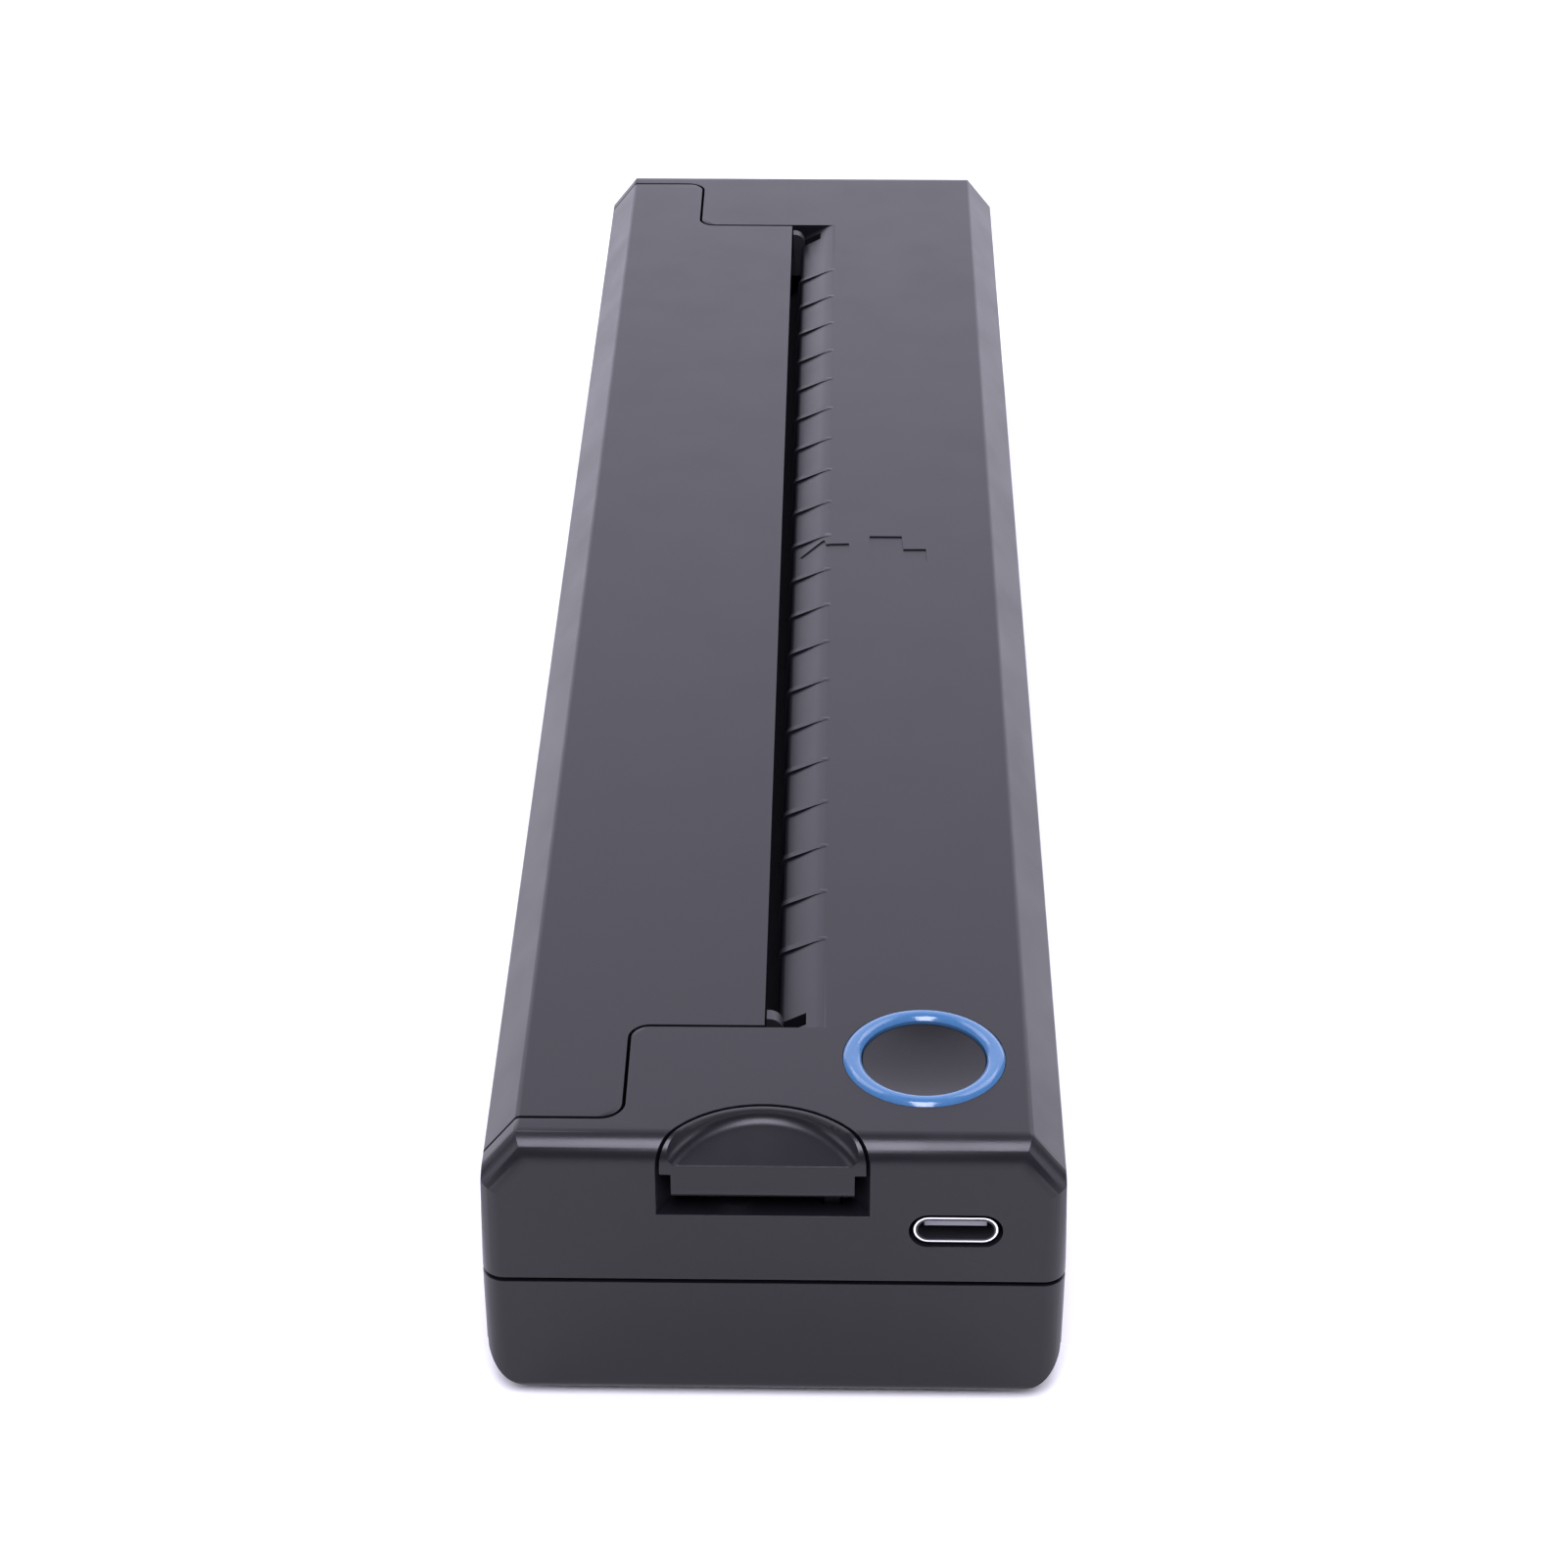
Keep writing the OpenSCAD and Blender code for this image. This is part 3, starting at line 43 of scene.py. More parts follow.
def mm(*values):
    """A point given in millimetres, in metres."""
    return Vector(values) * MM


# ---------- camera, floor and light ----------

PHOTO_SIDE = 1601
FOCAL_PX = 3738.274
SENSOR_MM = 36
EYE = mm(6.26, -431.9, 269.4)
YAW, PITCH, ROLL = (math.radians(a) for a in (-0.958, 32.177, -0.083))


def make_camera():
    """The photograph's view: where it was taken from, its direction and its lens."""
    data = bpy.data.cameras.new("photo_camera")
    data.sensor_width = SENSOR_MM
    data.lens = SENSOR_MM * FOCAL_PX / PHOTO_SIDE
    data.clip_start = 0.01
    forward = Vector((math.sin(YAW) * math.cos(PITCH), math.cos(YAW) * math.cos(PITCH), -math.sin(PITCH)))
    level = Vector((math.cos(YAW), -math.sin(YAW), 0))
    lift = level.cross(forward)
    right = level * math.cos(ROLL) + lift * math.sin(ROLL)
    up = right.cross(forward)
    camera = bpy.data.objects.new("photo_camera", data)
    camera.matrix_world = Matrix.Translation(EYE) @ Matrix((right, up, -forward)).transposed().to_4x4()
    bpy.context.scene.collection.objects.link(camera)
    bpy.context.scene.camera = camera


# Cool white of the studio's light panels.
LIGHT_TINT = (1.0, 0.97, 1.16)

# Each panel: turn from the far end towards the right, rise from level, distance,
# width and height in metres, and radiance.
PANELS = {
    "far_wall": (0, 28, 2.2, 4.0, 2.2, 1.37),
    "horizon_glow": (0, 4.5, 2.0, 3.4, 0.3, 1.6),
    "overhead_key": (180, 60, 1.3, 0.42, 0.86, 15),
    "left_wash": (-52, 54, 1.15, 0.6, 0.6, 3.6),
    "right_wash": (52, 54, 1.15, 0.6, 0.6, 3.6),
    "left_softbox": (-112, 14, 1.6, 0.8, 0.6, 3),
    "right_softbox": (112, 14, 1.6, 0.8, 0.6, 3),
}
AIM = Vector((0, 0, 0.02))
ROOM_LIGHT = 0.16
FLOOR_RADIUS = 1.25
FLOOR_SIDES = 96
FLOOR_COLOUR = (0.93, 0.93, 0.91, 1)


def light_panel(name, turn, rise, distance, width, height, radiance):
    """A rectangular area light round the object, facing it."""
    turn, rise = math.radians(turn), math.radians(rise)
    toward = Vector((math.sin(turn) * math.cos(rise), math.cos(turn) * math.cos(rise), math.sin(rise)))
    data = bpy.data.lights.new(name, "AREA")
    data.shape = "RECTANGLE"
    data.size, data.size_y = width, height
    data.color = LIGHT_TINT
    data.energy = radiance * width * height * math.pi
    lamp = bpy.data.objects.new(name, data)
    turned = (-toward).to_track_quat("-Z", "Y").to_matrix().to_4x4()
    lamp.matrix_world = Matrix.Translation(AIM + toward * distance) @ turned
    lamp.visible_camera = False
    bpy.context.scene.collection.objects.link(lamp)


def make_walls():
    """Dim room light all round, with a white backdrop where the camera looks past the floor."""
    world = bpy.data.worlds.new("studio_walls")
    world.use_nodes = True
    nodes, links = world.node_tree.nodes, world.node_tree.links
    room, backdrop = nodes["Background"], nodes.new("ShaderNodeBackground")
    room.inputs["Color"].default_value = (*LIGHT_TINT, 1)
    room.inputs["Strength"].default_value = ROOM_LIGHT
    backdrop.inputs["Color"].default_value = (1, 1, 1, 1)
    mix = nodes.new("ShaderNodeMixShader")
    links.new(nodes.new("ShaderNodeLightPath").outputs["Is Camera Ray"], mix.inputs["Fac"])
    links.new(room.outputs[0], mix.inputs[1])
    links.new(backdrop.outputs[0], mix.inputs[2])
    links.new(mix.outputs[0], nodes["World Output"].inputs["Surface"])
    bpy.context.scene.world = world


def make_floor():
    """A round pale floor under the feet."""
    floor = bpy.data.meshes.new("floor")
    reach = Vector((FLOOR_RADIUS, 0, 0))
    rim = [Matrix.Rotation(math.tau * i / FLOOR_SIDES, 3, "Z") @ reach for i in range(FLOOR_SIDES)]
    floor.from_pydata([tuple(corner) for corner in rim], [], [tuple(range(FLOOR_SIDES))])
    ground = bpy.data.objects.new("floor", floor)
    bpy.context.scene.collection.objects.link(ground)
    paint = bpy.data.materials.new("pale_floor")
    paint.use_nodes = True
    skin = paint.node_tree.nodes["Principled BSDF"]
    skin.inputs["Base Color"].default_value = FLOOR_COLOUR
    skin.inputs["Roughness"].default_value = 0.9
    skin.inputs["Specular IOR Level"].default_value = 0.1
    floor.materials.append(paint)


def make_studio():
    """The room, the light panels and the floor round the object."""
    bpy.context.scene.view_settings.view_transform = "Standard"
    make_walls()
    for name, sizes in PANELS.items():
        light_panel(name, *sizes)
    make_floor()


# ---------- materials ----------

# Octaves of noise in soft patches and in fine relief.
CLOUD_DETAIL = 3
GRAIN_DETAIL = 1

# How far the normal has to turn within the radius before an edge's painted highlight begins, and before it
# is full.
FULL_EDGE_HIGHLIGHT, FAINT_EDGE_HIGHLIGHT = 0.8, 0.98


class Finish:
    """Builds a node material step by step around one Principled shader."""

    def __init__(self, name, colour, roughness, metallic=0.0):
        self.material = bpy.data.materials.new(name)
        self.material.use_nodes = True
        self.tree = self.material.node_tree
        self.shader = self.tree.nodes["Principled BSDF"]
        self.colour = (*colour, 1)
        self.shader.inputs["Base Color"].default_value = self.colour
        self.shader.inputs["Roughness"].default_value = roughness
        self.shader.inputs["Metallic"].default_value = metallic
        self.roughness = roughness
        self.place = self.node("ShaderNodeTexCoord").outputs["Object"]
        self.shade = None
        self.height = None

    def node(self, kind, **settings):
        made = self.tree.nodes.new(kind)
        for key, value in settings.items():
            setattr(made, key, value)
        return made

    def link(self, source, target):
        self.tree.links.new(source, target)

    def noise(self, grain_mm, detail, stretch=(1, 1, 1)):
        """Noise whose grains measure about grain_mm, drawn out by stretch."""
        mapping = self.node("ShaderNodeMapping")
        mapping.inputs["Scale"].default_value = [1 / (grain_mm * MM * s) for s in stretch]
        self.link(self.place, mapping.inputs["Vector"])
        noise = self.node("ShaderNodeTexNoise")
        noise.inputs["Scale"].default_value = 1
        noise.inputs["Detail"].default_value = detail
        self.link(mapping.outputs["Vector"], noise.inputs["Vector"])
        return noise.outputs["Fac"]

    def spread(self, source, low, high, start=0.3, end=0.7):
        """source from start to end, given out as low to high."""
        ranged = self.node("ShaderNodeMapRange")
        ranged.inputs["From Min"].default_value = start
        ranged.inputs["From Max"].default_value = end
        ranged.inputs["To Min"].default_value = low
        ranged.inputs["To Max"].default_value = high
        self.link(source, ranged.inputs["Value"])
        return ranged.outputs["Result"]

    def times(self, a, b):
        """One varying value multiplied by another."""
        product = self.node("ShaderNodeMath", operation="MULTIPLY")
        self.link(a, product.inputs[0])
        self.link(b, product.inputs[1])
        return product.outputs["Value"]

    def add_shade(self, factor):
        """Multiplies the base colour by a factor that varies over the surface."""
        self.shade = factor if self.shade is None else self.times(self.shade, factor)
        return self

    def mottle(self, grain_mm, amount):
        """Patches of that size, darker and lighter by that share."""
        return self.add_shade(self.spread(self.noise(grain_mm, CLOUD_DETAIL), 1 - amount, 1 + amount))

    def vary_roughness(self, grain_mm, amount, stretch=(1, 1, 1)):
        """Patches of that size, glossier and duller by that amount."""
        low, high = self.roughness - amount, self.roughness + amount
        clouds = self.noise(grain_mm, CLOUD_DETAIL, stretch)
        self.link(self.spread(clouds, low, high), self.shader.inputs["Roughness"])
        return self

    def grain(self, grain_mm, depth_mm, stretch=(1, 1, 1)):
        """Fine relief with grains of that size and depth."""
        bump = self.node("ShaderNodeBump")
        bump.inputs["Strength"].default_value = 1
        bump.inputs["Distance"].default_value = depth_mm * MM
        self.link(self.noise(grain_mm, GRAIN_DETAIL, stretch), bump.inputs["Height"])
        if self.height is not None:
            self.link(self.height, bump.inputs["Normal"])
        self.height = bump.outputs["Normal"]
        return self

    def paint_edge_highlight(self, radius_mm, gain):
        """Painted highlight: lightens the colour where the surface turns within the radius, along edges."""
        bevel = self.node("ShaderNodeBevel", samples=4)
        bevel.inputs["Radius"].default_value = radius_mm * MM
        geometry = self.node("ShaderNodeNewGeometry")
        turn = self.node("ShaderNodeVectorMath", operation="DOT_PRODUCT")
        self.link(bevel.outputs["Normal"], turn.inputs[0])
        self.link(geometry.outputs["Normal"], turn.inputs[1])
        return self.add_shade(self.spread(turn.outputs["Value"], gain, 1.0, FULL_EDGE_HIGHLIGHT, FAINT_EDGE_HIGHLIGHT))

    def along(self, axis):
        """The place on the object along X, Y or Z."""
        split = self.node("ShaderNodeSeparateXYZ")
        self.link(self.place, split.inputs[0])
        return split.outputs["XYZ".index(axis)]

    def off_centre(self, source, centre):
        """How far source is from the centre, either way."""
        apart = self.node("ShaderNodeMath", operation="SUBTRACT")
        apart.inputs[1].default_value = centre
        self.link(source, apart.inputs[0])
        size = self.node("ShaderNodeMath", operation="ABSOLUTE")
        self.link(apart.outputs["Value"], size.inputs[0])
        return size.outputs["Value"]

    def line(self, axis, centre_mm, width_mm, gain):
        """One printed line across the axis, gain times as light as the ground."""
        half = width_mm * MM / 2
        away = self.off_centre(self.along(axis), centre_mm * MM)
        return self.add_shade(self.spread(away, gain, 1.0, half * 0.85, half * 1.15))

    def comb(self, axis, pitch_mm, gain, across, centre_mm, width_mm):
        """Even fine lines along the axis, only within a strip of that width."""
        repeat = self.node("ShaderNodeMath", operation="FRACT")
        step = self.node("ShaderNodeMath", operation="DIVIDE")
        step.inputs[1].default_value = pitch_mm * MM
        self.link(self.along(axis), step.inputs[0])
        self.link(step.outputs["Value"], repeat.inputs[0])
        teeth = self.spread(self.off_centre(repeat.outputs["Value"], 0.5), 0, 1, 0.2, 0.3)
        half = width_mm * MM / 2
        away = self.off_centre(self.along(across), centre_mm * MM)
        strip = self.spread(away, 1, 0, half * 0.97, half)
        return self.add_shade(self.spread(self.times(teeth, strip), 1.0, gain, 0, 1))

    def gloss(self, level):
        """How strongly the surface mirrors, 0.5 for most plastics."""
        self.shader.inputs["Specular IOR Level"].default_value = level
        return self

    def done(self):
        """The finished material, with its shade and relief joined to the shader."""
        if self.shade is not None:
            mix = self.node("ShaderNodeVectorMath", operation="SCALE")
            mix.inputs[0].default_value = self.colour[:3]
            self.link(self.shade, mix.inputs["Scale"])
            self.link(mix.outputs["Vector"], self.shader.inputs["Base Color"])
        if self.height is not None:
            self.link(self.height, self.shader.inputs["Normal"])
        return self.material


def spark_eroded(name, colour, roughness, specular=0.5):
    """Satin moulded plastic: a fine spark-eroded grain with faint flow marks."""
    finish = Finish(name, colour, roughness)
    finish.mottle(22, 0.03).mottle(0.5, 0.04).vary_roughness(9, 0.03)
    # The edges are lightened by a gain of 1.25: a painted highlight along them.
    return finish.grain(0.16, 0.006).paint_edge_highlight(0.25, 1.25).gloss(specular).done()


def turned_metal(name, colour, roughness, stretch=(1, 1, 1)):
    """Bare metal with fine tool marks along one direction."""
    finish = Finish(name, colour, roughness, metallic=1.0)
    return finish.mottle(6, 0.06).vary_roughness(1.2, 0.06, stretch).grain(0.3, 0.004, stretch).done()


# The print head's heater line and tracks, in millimetres across the case and along it.
HEATER_X, HEATER_WIDTH = -22, 0.9
TRACK_PITCH, TRACKS_X, TRACKS_WIDTH = 0.8, -20, 3


def glazed_ceramic():
    """Ceramic board of the print head: the dark heater line and the fine tracks to its chips."""
    finish = Finish("glazed_ceramic", (0.62, 0.58, 0.5), 0.3)
    finish.mottle(12, 0.04).mottle(0.6, 0.03).vary_roughness(5, 0.05).grain(0.2, 0.003)
    finish.line("X", HEATER_X, HEATER_WIDTH, 0.16)
    return finish.comb("Y", TRACK_PITCH, 0.6, "X", TRACKS_X, TRACKS_WIDTH).done()


def rubber(name, colour, roughness, grain_mm):
    """Matt rubber with a ground or moulded grain."""
    finish = Finish(name, colour, roughness)
    return finish.mottle(5, 0.12).vary_roughness(3, 0.05).grain(grain_mm, 0.01).done()


def make_materials():
    """One finish for each material slot of the record."""
    return {
        "shell_plastic": spark_eroded("satin_charcoal_shell", (0.0066, 0.0062, 0.0084), 0.33, specular=0.35),
        "inner_plastic": spark_eroded("matt_black_inner", (0.014, 0.0135, 0.016), 0.5),
        "frame_plastic": spark_eroded("glass_filled_frame", (0.03, 0.03, 0.034), 0.55),
        "button_plastic": spark_eroded("dark_button", (0.006, 0.0058, 0.0072), 0.3, specular=0.25),
        "switch_cream": spark_eroded("cream_plunger", (0.55, 0.5, 0.38), 0.45),
        "black_resin": spark_eroded("black_resin", (0.012, 0.012, 0.013), 0.4),
        "port_black": spark_eroded("port_tongue", (0.3, 0.3, 0.33), 0.35),
        "nylon": spark_eroded("natural_nylon", (0.62, 0.6, 0.53), 0.42),
        "foot_rubber": rubber("foot_rubber", (0.012, 0.012, 0.012), 0.85, 0.4),
        "roller_rubber": rubber("roller_rubber", (0.016, 0.016, 0.017), 0.65, 0.12),
        "steel": turned_metal("bright_steel", (0.56, 0.57, 0.58), 0.28, (1, 8, 1)),
        "spring_steel": turned_metal("spring_wire", (0.42, 0.43, 0.45), 0.3),
        "motor_steel": turned_metal("zinc_plated_can", (0.5, 0.5, 0.48), 0.34, (8, 1, 8)),
        "port_steel": turned_metal("port_shell", (0.82, 0.82, 0.84), 0.16),
        "contact_steel": turned_metal("nickel_contact", (0.6, 0.58, 0.52), 0.25),
        "brass": turned_metal("brass", (0.62, 0.44, 0.17), 0.26),
        "aluminium": turned_metal("extruded_aluminium", (0.6, 0.61, 0.63), 0.34, (1, 20, 1)),
        "ceramic": glazed_ceramic(),
        "circuit_board": spark_eroded("solder_mask", (0.012, 0.09, 0.04), 0.3),
        "cell_wrap": spark_eroded("cell_wrap", (0.03, 0.1, 0.25), 0.3),
        "light_ring": spark_eroded("lit_blue_ring", (0.05, 0.145, 0.295), 0.14),
    }


# ---------- softened copies of the mouldings ----------

# Edges that turn more than SHARP are softened, and those below SMOOTH_BELOW are shaded smooth.
SHARP = math.radians(25)
SMOOTH_BELOW = math.radians(32)
# Facets are joined only where they are this flat: a wider angle breaks the hollow of the thumb dish.
FLAT_WITHIN = math.radians(0.05)
SAME_POINT = 1e-6
SOFT_SEGMENTS = 2


def merged(node):
    """A mesh copy of a CAD node with its loose triangles joined up."""
    mesh = bmesh.new()
    mesh.from_mesh(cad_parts[node].data)
    bmesh.ops.remove_doubles(mesh, verts=mesh.verts, dist=SAME_POINT)
    bmesh.ops.dissolve_limit(mesh, angle_limit=FLAT_WITHIN, verts=mesh.verts, edges=mesh.edges)
    return mesh


SKIN_WITHIN = 0.05 * MM
SKIN_FACING = 0.97


def on_outside(mesh, skin):
    """Faces of mesh that lie in the outer skin of the whole case."""
    return {f for f in mesh.faces if any(
        abs((f.calc_center_median() - point).dot(normal)) < SKIN_WITHIN
        and f.normal.dot(normal) > SKIN_FACING for point, normal in skin)}


def outer_skin():
    """Planes of the convex skin round the closed case, as points and normals."""
    hull = bmesh.new()
    for node in ("bottom_shell", "upper_shell", "cover"):
        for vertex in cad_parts[node].data.vertices:
            hull.verts.new(vertex.co)
    result = bmesh.ops.convex_hull(hull, input=hull.verts)
    faces = [f for f in result["geom"] if isinstance(f, bmesh.types.BMFace)]
    planes = {}
    for face in faces:
        key = tuple(round(c, 3) for c in face.normal)
        planes.setdefault(key, (face.calc_center_median().copy(), face.normal.copy()))
    hull.free()
    return list(planes.values())


def soften(mesh, edges, width_mm):
    """Rounds those edges off by that width."""
    bmesh.ops.bevel(mesh, geom=edges, offset=width_mm * MM, offset_type="OFFSET", segments=SOFT_SEGMENTS,
                    profile=0.5, affect="EDGES", clamp_overlap=False, loop_slide=True)


def convex_edges(mesh, test):
    """Outward corners of the mesh that pass the test."""
    return [e for e in mesh.edges if len(e.link_faces) == 2 and e.is_convex
            and e.calc_face_angle() > SHARP and test(e)]


def finish_piece(mesh, name, material, body, slot, *nodes):
    """Turns a bmesh into a piece: weighted normals, material, body and the nodes it stands for."""
    bmesh.ops.triangulate(mesh, faces=[f for f in mesh.faces if len(f.verts) > 4])
    for face in mesh.faces:
        face.smooth = True
    for edge in mesh.edges:
        edge.smooth = len(edge.link_faces) == 2 and edge.calc_face_angle() < SMOOTH_BELOW
    data = bpy.data.meshes.new(name)
    mesh.to_mesh(data)
    mesh.free()
    data.materials.append(material)
    piece = bpy.data.objects.new(name, data)
    bpy.context.scene.collection.objects.link(piece)
    weighted = piece.modifiers.new("weighted", "WEIGHTED_NORMAL")
    weighted.keep_sharp = True
    weighted.mode = "FACE_AREA"
    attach(piece, body)
    if nodes:
        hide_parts(*nodes)


# The case's top and slanted edges as the CAD has them, in millimetres.
CASE_TOP = 34.5
HALF_LENGTH = 129.5
TOP_EDGE_X = 27.1
CHAMFER_HEIGHT, CHAMFER_WIDTH = 4.7, 3.75
CHAMFER_SLOPE = math.atan2(CHAMFER_HEIGHT, CHAMFER_WIDTH)

# The rounding at the two ends, and how far its waste stands out and reaches sideways.
END_ROUNDING = 3.0
ROUNDING_STEPS = 20
WASTE_SPARE = 1
WASTE_REACH = 40


def add_prism(waste, near, far):
    """Adds the closed solid between two outlines that have the same number of points."""
    near, far = ([waste.verts.new(point) for point in outline] for outline in (near, far))
    for i in range(len(near)):
        j = (i + 1) % len(near)
        waste.faces.new((near[i], near[j], far[j], far[i]))
    waste.faces.new(near)
    waste.faces.new(far)
    bmesh.ops.recalc_face_normals(waste, faces=waste.faces)


def edge_waste(end, slope, side):
    """The sliver outside the rounding where the top or a slanted edge meets an end."""
    profile = [(-WASTE_SPARE, -WASTE_SPARE), (END_ROUNDING, -WASTE_SPARE)]
    for i in range(ROUNDING_STEPS + 1):
        turn = math.radians(90 * i / ROUNDING_STEPS)
        profile.append((END_ROUNDING * (1 - math.sin(turn)), END_ROUNDING * (1 - math.cos(turn))))
    profile.append((-WASTE_SPARE, END_ROUNDING))
    along = Vector((side * math.cos(slope), 0, -math.sin(slope)))
    inward = Vector((-side * math.sin(slope), 0, -math.cos(slope)))
    corner = Vector((side * TOP_EDGE_X if slope else 0, 0, CASE_TOP))
    near, far = ([
        MM * (corner + along * reach + inward * depth + Vector((0, end * (HALF_LENGTH - inset), 0)))
        for inset, depth in profile] for reach in (-WASTE_REACH, WASTE_REACH))
    waste = bmesh.new()
    add_prism(waste, near, far)
    return waste


def shown(mesh, name):
    """A short-lived object that holds a bmesh."""
    data = bpy.data.meshes.new(name)
    mesh.to_mesh(data)
    made = bpy.data.objects.new(name, data)
    bpy.context.scene.collection.objects.link(made)
    return made


def cut_away(mesh, *wastes):
    """mesh without the volume of each waste, one after the other."""
    for waste in wastes:
        target, tool = shown(mesh, "target"), shown(waste, "tool")
        cut = target.modifiers.new("cut", "BOOLEAN")
        cut.operation, cut.solver, cut.object = "DIFFERENCE", "EXACT", tool
        depsgraph = bpy.context.evaluated_depsgraph_get()
        result = bpy.data.meshes.new_from_object(target.evaluated_get(depsgraph))
        mesh.free()
        waste.free()
        mesh = bmesh.new()
        mesh.from_mesh(result)
        for leftover in (target, tool):
            old = leftover.data
            bpy.data.objects.remove(leftover)
            bpy.data.meshes.remove(old)
        bpy.data.meshes.remove(result)
    bmesh.ops.remove_doubles(mesh, verts=mesh.verts, dist=2 * SAME_POINT)
    bmesh.ops.dissolve_limit(mesh, angle_limit=FLAT_WITHIN, verts=mesh.verts, edges=mesh.edges)
    return mesh


def round_the_ends(mesh):
    """Rounds the top and the slanted edges where they meet the two ends."""
    wastes = []
    for end in (-1, 1):
        wastes.append(edge_waste(end, 0, 1))
        wastes += [edge_waste(end, CHAMFER_SLOPE, side) for side in (-1, 1)]
    return cut_away(mesh, *wastes)


# The paper ramp as the CAD has it, in millimetres.
RAMP_START_X = 5.5
RAMP_LEAN = math.radians(27)
RAMP_TOP_R = 4

# Depth of the signs and of the groove round them, the field they lie in (low and high x,
# low and high y), the slices in which they follow the ramp, and how far their waste stands out.
SIGN_DEPTH = 0.18
OUTLINE_DEPTH = 0.7
OUTLINE_WIDTH = 0.3
SIGN_FIELD = (0.9, 18.5, -3, 5)
SLICES_START_X, SLICE, SLICES = 1.0, 0.35, 13
SIGN_SPARE = 2

# The ribs on the ramp: a crest grows to its full height over RIB_RUN, along this power of the run.
RIB_COUNT = 20
RIB_PITCH = 9.6
RIB_HEIGHT = 0.35
RIB_RUN = 4.5
RIB_GROWTH = 1.3
# What is cut off above a crest: its first x, step and number of steps, half its width, and how
# far it stays clear of the top.
CREST_START_X, CREST_STEP, CREST_STEPS = 5.6, 0.25, 25
CREST_REACH = 1
CREST_SPARE = 0.004

# Outlines of the two signs beside the slot: insert this way, and a stepped sheet.
ARROW_SIGN = [
    (1.12, 1.1), (4.46, 3.5), (4.7, 2.15), (7.8, 2.3), (7.8, -0.35), (4.72, -0.4), (4.4, -2.2),
]
SHEET_SIGN = [(10.55, 4.4), (14.9, 4.4), (15.1, 0.8), (18.1, 0.85), (18.2, -2.45), (10.55, -2.4)]


def top_drop(x):
    """How far the top lies below its flat part at x: the ramp leaves it in an arc, then slopes."""
    run = RAMP_START_X - x
    if run <= 0:
        return 0
    if run < RAMP_TOP_R * math.sin(RAMP_LEAN):
        return RAMP_TOP_R - math.sqrt(RAMP_TOP_R ** 2 - run ** 2)
    return math.tan(RAMP_LEAN) * (run - RAMP_TOP_R * math.tan(RAMP_LEAN / 2))


def sign_waste(outline, depth, rim_only):
    """The recess of a sign, or only the groove along its outline, at an even depth under the top."""
    waste = bmesh.new()
    field = waste.faces.new([waste.verts.new((x, y, 0)) for x, y in outline])
    field.normal_update()
    if rim_only:
        bmesh.ops.inset_region(waste, faces=[field], thickness=OUTLINE_WIDTH, use_even_offset=True)
        bmesh.ops.delete(waste, geom=[field], context="FACES_ONLY")
    for i in range(1, SLICES + 1):
        cut = (SLICES_START_X + SLICE * i, 0, 0)
        parts = list(waste.verts) + list(waste.edges) + list(waste.faces)
        bmesh.ops.bisect_plane(waste, geom=parts, plane_co=cut, plane_no=(1, 0, 0))
    floor = list(waste.faces)
    lid = bmesh.ops.extrude_face_region(waste, geom=floor)["geom"]
    for vertex in [v for v in lid if isinstance(v, bmesh.types.BMVert)]:
        vertex.co.z = CASE_TOP + SIGN_SPARE
    for vertex in waste.verts:
        if vertex.co.z == 0:
            vertex.co.z = CASE_TOP - top_drop(vertex.co.x) - depth
        vertex.co *= MM
    bmesh.ops.recalc_face_normals(waste, faces=waste.faces)
    return waste


def in_a_sign(edge):
    """Whether the middle of an edge is among the signs, whose edges stay crisp."""
    x, y = [c / MM / 2 for c in (edge.verts[0].co + edge.verts[1].co)[:2]]
    low_x, high_x, low_y, high_y = SIGN_FIELD
    return low_x < x < high_x and low_y < y < high_y


def rib_crest_waste():
    """What stands above each rib's crest, which rises out of the top instead of starting as a step."""
    crest = []
    for i in range(CREST_STEPS):
        x = CREST_START_X - CREST_STEP * i
        growth = min(1.0, max(0.0, RAMP_START_X - x) / RIB_RUN)
        crest.append((x, CASE_TOP - top_drop(x) + CREST_SPARE + RIB_HEIGHT * growth ** RIB_GROWTH))
    profile = crest + [(x, CASE_TOP + WASTE_SPARE) for x in (crest[-1][0], crest[0][0])]
    waste = bmesh.new()
    for rib in range(RIB_COUNT):
        middle = (rib - (RIB_COUNT - 1) / 2) * RIB_PITCH
        near, far = ([mm(x, middle + reach, z) for x, z in profile]
                     for reach in (-CREST_REACH, CREST_REACH))
        add_prism(waste, near, far)
    return waste


# Each moulding: node, body and width of its soft edges in millimetres.
MOULDINGS = {
    "lower_case": ("bottom_shell", "base", 0.1),
    "upper_case": ("upper_shell", "base", 0.1),
    "cover_moulding": ("cover", "cover", 0.1),
    "thumb_tab": ("release_tab", "release_tab", 0.05),
}


def make_mouldings(materials):
    """The shells, cover and thumb tab with their soft edges, rounded ends, signs and rib crests."""
    skin = outer_skin()
    for name, (node, body, softness) in MOULDINGS.items():
        mesh = merged(node)
        if node in ("upper_shell", "release_tab"):
            mesh = round_the_ends(mesh)
        if node == "upper_shell":
            signs = [sign_waste(outline, depth, rim) for outline in (ARROW_SIGN, SHEET_SIGN)
                     for depth, rim in ((SIGN_DEPTH, False), (OUTLINE_DEPTH, True))]
            mesh = cut_away(mesh, rib_crest_waste(), *signs)
        outside = on_outside(mesh, skin)
        edges = convex_edges(mesh, lambda e: any(f in outside for f in e.link_faces) and not in_a_sign(e))
        soften(mesh, edges, softness)
        finish_piece(mesh, name, materials["shell_plastic"], body, "shell_plastic", node)


# ---------- screws ----------

